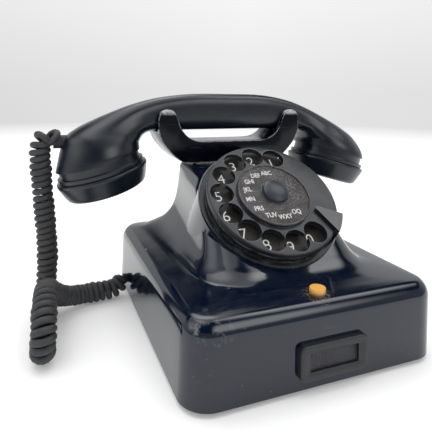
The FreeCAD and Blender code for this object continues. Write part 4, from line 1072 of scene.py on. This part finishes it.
def make_sheets():
    """Clear sheets, a hair off the cards under them so that no two faces meet."""
    off_dial = Matrix.Translation(on_dial().to_3x3() @ UP * SHEET_GAP * MM)
    cover = place_mesh(solid_copy("dial_cover", "clear_dial_cover"), off_dial)
    finished(cover, "dial", "clear_cover", "dial_cover")
    off_wall = Matrix.Translation(mm(0, -SHEET_GAP, 0))
    window = place_mesh(solid_copy("label_window", "clear_card_window"), off_wall)
    finished(window, "housing", "clear_sheet", "label_window")


def make_button_coil():
    """The button's spring as a piece of its own, in spring steel."""
    coil = solid_copy("button_spring", "button_coil")
    finished(coil, "housing", "spring_steel", "button_spring")
    coil.parent = None
    coil.matrix_world = Matrix.Identity(4)
    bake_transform(coil)


# ---- solids that keep their shape
def soft_edges_tree():
    """Merges a solid's loose triangles and shades it smooth up to an angle."""
    tree, given, keys = shape_tree("soft edges", "Sharp angle")
    merged = node(tree, "GeometryNodeMergeByDistance", {"Geometry": given["Geometry"], "Distance": 0.00001})
    faces = {"Geometry": merged.outputs[0], "Shade Smooth": True}
    smooth = node(tree, "GeometryNodeSetShadeSmooth", faces, domain="FACE")
    angle = node(tree, "GeometryNodeInputMeshEdgeAngle").outputs[0]
    sharp = node(tree, "FunctionNodeCompare", {0: angle, 1: given["Sharp angle"]},
                 data_type="FLOAT", operation="GREATER_THAN")
    edges = {"Geometry": smooth.outputs[0], "Selection": sharp.outputs[0], "Shade Smooth": False}
    kept = node(tree, "GeometryNodeSetShadeSmooth", edges, domain="EDGE")
    node(tree, "NodeGroupOutput", {0: kept.outputs[0]})
    return tree, keys


def dress_solids(replaced):
    """Finish for every solid, and soft shading for those that are shown as they are."""
    tree, keys = soft_edges_tree()
    slots = {entry["node"]: entry["material_slot"] for entry in frame["record"]["subparts"]}
    for name, solid in frame["nodes"].items():
        solid.data.materials.clear()
        solid.data.materials.append(FINISHES["label_paper" if name == "label_card" else slots[name]])
        if name not in replaced:
            shape_by(solid, tree, keys, math.radians(30))


# ---- room
def seen_or_mirrored(tree):
    """1 for rays from the camera, off a gloss or through a clear piece; 0 for those that light the object."""
    path = node(tree, "ShaderNodeLightPath").outputs
    either = maths(tree, "MAXIMUM", path["Is Camera Ray"], path["Is Glossy Ray"])
    return maths(tree, "MAXIMUM", either, path["Is Transmission Ray"])


def sweep_level(tree, direction, level):
    """Brightness of the pale sweep: strongest beyond the object and to its right, dimmer in front of it."""
    aside = maths(tree, "ABSOLUTE", maths(tree, "SUBTRACT", axis(tree, direction, "X"), 0.42))
    behind = ramp(tree, axis(tree, direction, "Y"), -0.5, 0.3, 0.45, 1.0)
    dimmed = maths(tree, "SUBTRACT", level, times(tree, aside, 0.16))
    return times(tree, dimmed, behind)


FLOOR_REACH = 12.0
LEVEL_GLOW = 0.80


def make_floor():
    """White floor that melts into the backdrop further out."""
    corners = [(x * FLOOR_REACH, y * FLOOR_REACH, 0) for x, y in ((-1, -1), (1, -1), (1, 1), (-1, 1))]
    floor = mesh_piece("floor", [Vector(c) for c in corners], [(0, 1, 2, 3)])
    material, tree, shader, place = new_material("floor white")
    away = vector_maths(tree, "LENGTH", place)
    far = ramp(tree, away, 0.8, 1.7)
    base = blend_colours(tree, far, (0.95, 0.95, 0.95), (0, 0, 0))
    outward = node(tree, "ShaderNodeVectorMath", {0: place}, operation="NORMALIZE").outputs["Vector"]
    glow = blend_values(tree, far, 0.14, sweep_level(tree, outward, LEVEL_GLOW))
    glow = times(tree, glow, seen_or_mirrored(tree))
    feed(tree, shader, Base_Color=base, Roughness=0.9, Specular_IOR_Level=0.0)
    feed(tree, shader, Emission_Color=(1, 1, 1), Emission_Strength=glow)
    floor.data.materials.append(material)


SOFT_LIGHTS = [
    # direction of each bright patch, cosine from it that is full, cosine that is dark, strength
    ((0.52, -0.06, 0.85), 0.992, 0.93, 3.6),
    ((-0.82, 0.10, 0.55), 0.985, 0.80, 2.0),
    ((-0.36, 0.12, 0.92), 0.990, 0.89, 1.8),
    ((0.34, -0.74, 0.58), 0.985, 0.90, 3.2),
    ((0.10, 0.66, 0.74), 0.990, 0.92, 2.6),
]


def make_backdrop():
    """Even soft light, seen as a pale sweep low down and, over it, a dark room with bright patches."""
    world = bpy.data.worlds.new("room")
    bpy.context.scene.world = world
    world.use_nodes = True
    sky = world.node_tree
    background = sky.nodes["Background"]
    toward = sky.nodes.new("ShaderNodeTexCoord").outputs["Generated"]
    up = axis(sky, toward, "Z")
    sweep = sweep_level(sky, toward, ramp(sky, up, 0.0, 0.20, LEVEL_GLOW, 0.93))
    rise_right = ramp(sky, axis(sky, toward, "X"), 0.50, 0.64, 0.0, 0.14)
    above = ramp(sky, maths(sky, "SUBTRACT", up, rise_right), 0.33, 0.42)
    picture = blend_values(sky, above, sweep, 0.02)
    for middle, inner, outer, level in SOFT_LIGHTS:
        facing = vector_maths(sky, "DOT_PRODUCT", toward, Vector(middle).normalized())
        glow = maths(sky, "POWER", ramp(sky, facing, outer, inner), 2.0)
        picture = maths(sky, "MAXIMUM", picture, times(sky, glow, level))
    sky.links.new(blend_values(sky, seen_or_mirrored(sky), 1.0, picture), background.inputs["Strength"])
    background.inputs["Color"].default_value = (1, 1, 1, 1)


def make_room():
    make_floor()
    make_backdrop()
    lamp("overhead", (-0.1, 0.2, 1.2), (-0.05, 0, 0), 1.2, 5.5)


def lamp(name, place, target, size, power):
    data = bpy.data.lights.new(name, "AREA")
    data.size = size
    data.energy = power
    holder = linked(name, data)
    direction = Vector(target) - Vector(place)
    holder.matrix_world = Matrix.Translation(place) @ direction.to_track_quat("-Z", "Y").to_matrix().to_4x4()


# ---- assembly
finished(make_housing(), "housing", "black_gloss", "housing")
finished(make_handset(), "handset", "handset_gloss", "handset_shell")
finished(make_cap("mouthpiece", -1), "handset", "handset_gloss", "mouthpiece_cap")
finished(make_cap("earpiece", 1), "handset", "handset_gloss", "earpiece_cap")
finished(make_cradle(), "cradle", "cradle_gloss", "cradle_fork")
finished(make_digits(), "housing", "plate_enamel", finish="white_paint")
finished(make_letters(), "dial", "card", finish="letter_white")
make_sheets()
make_button_coil()
dress_solids({
    "housing", "handset_shell", "mouthpiece_cap", "earpiece_cap", "cradle_fork", "handset_cord",
    "dial_cover", "label_window", "button_spring",
})
make_room()

bpy.context.scene.view_settings.view_transform = "Standard"
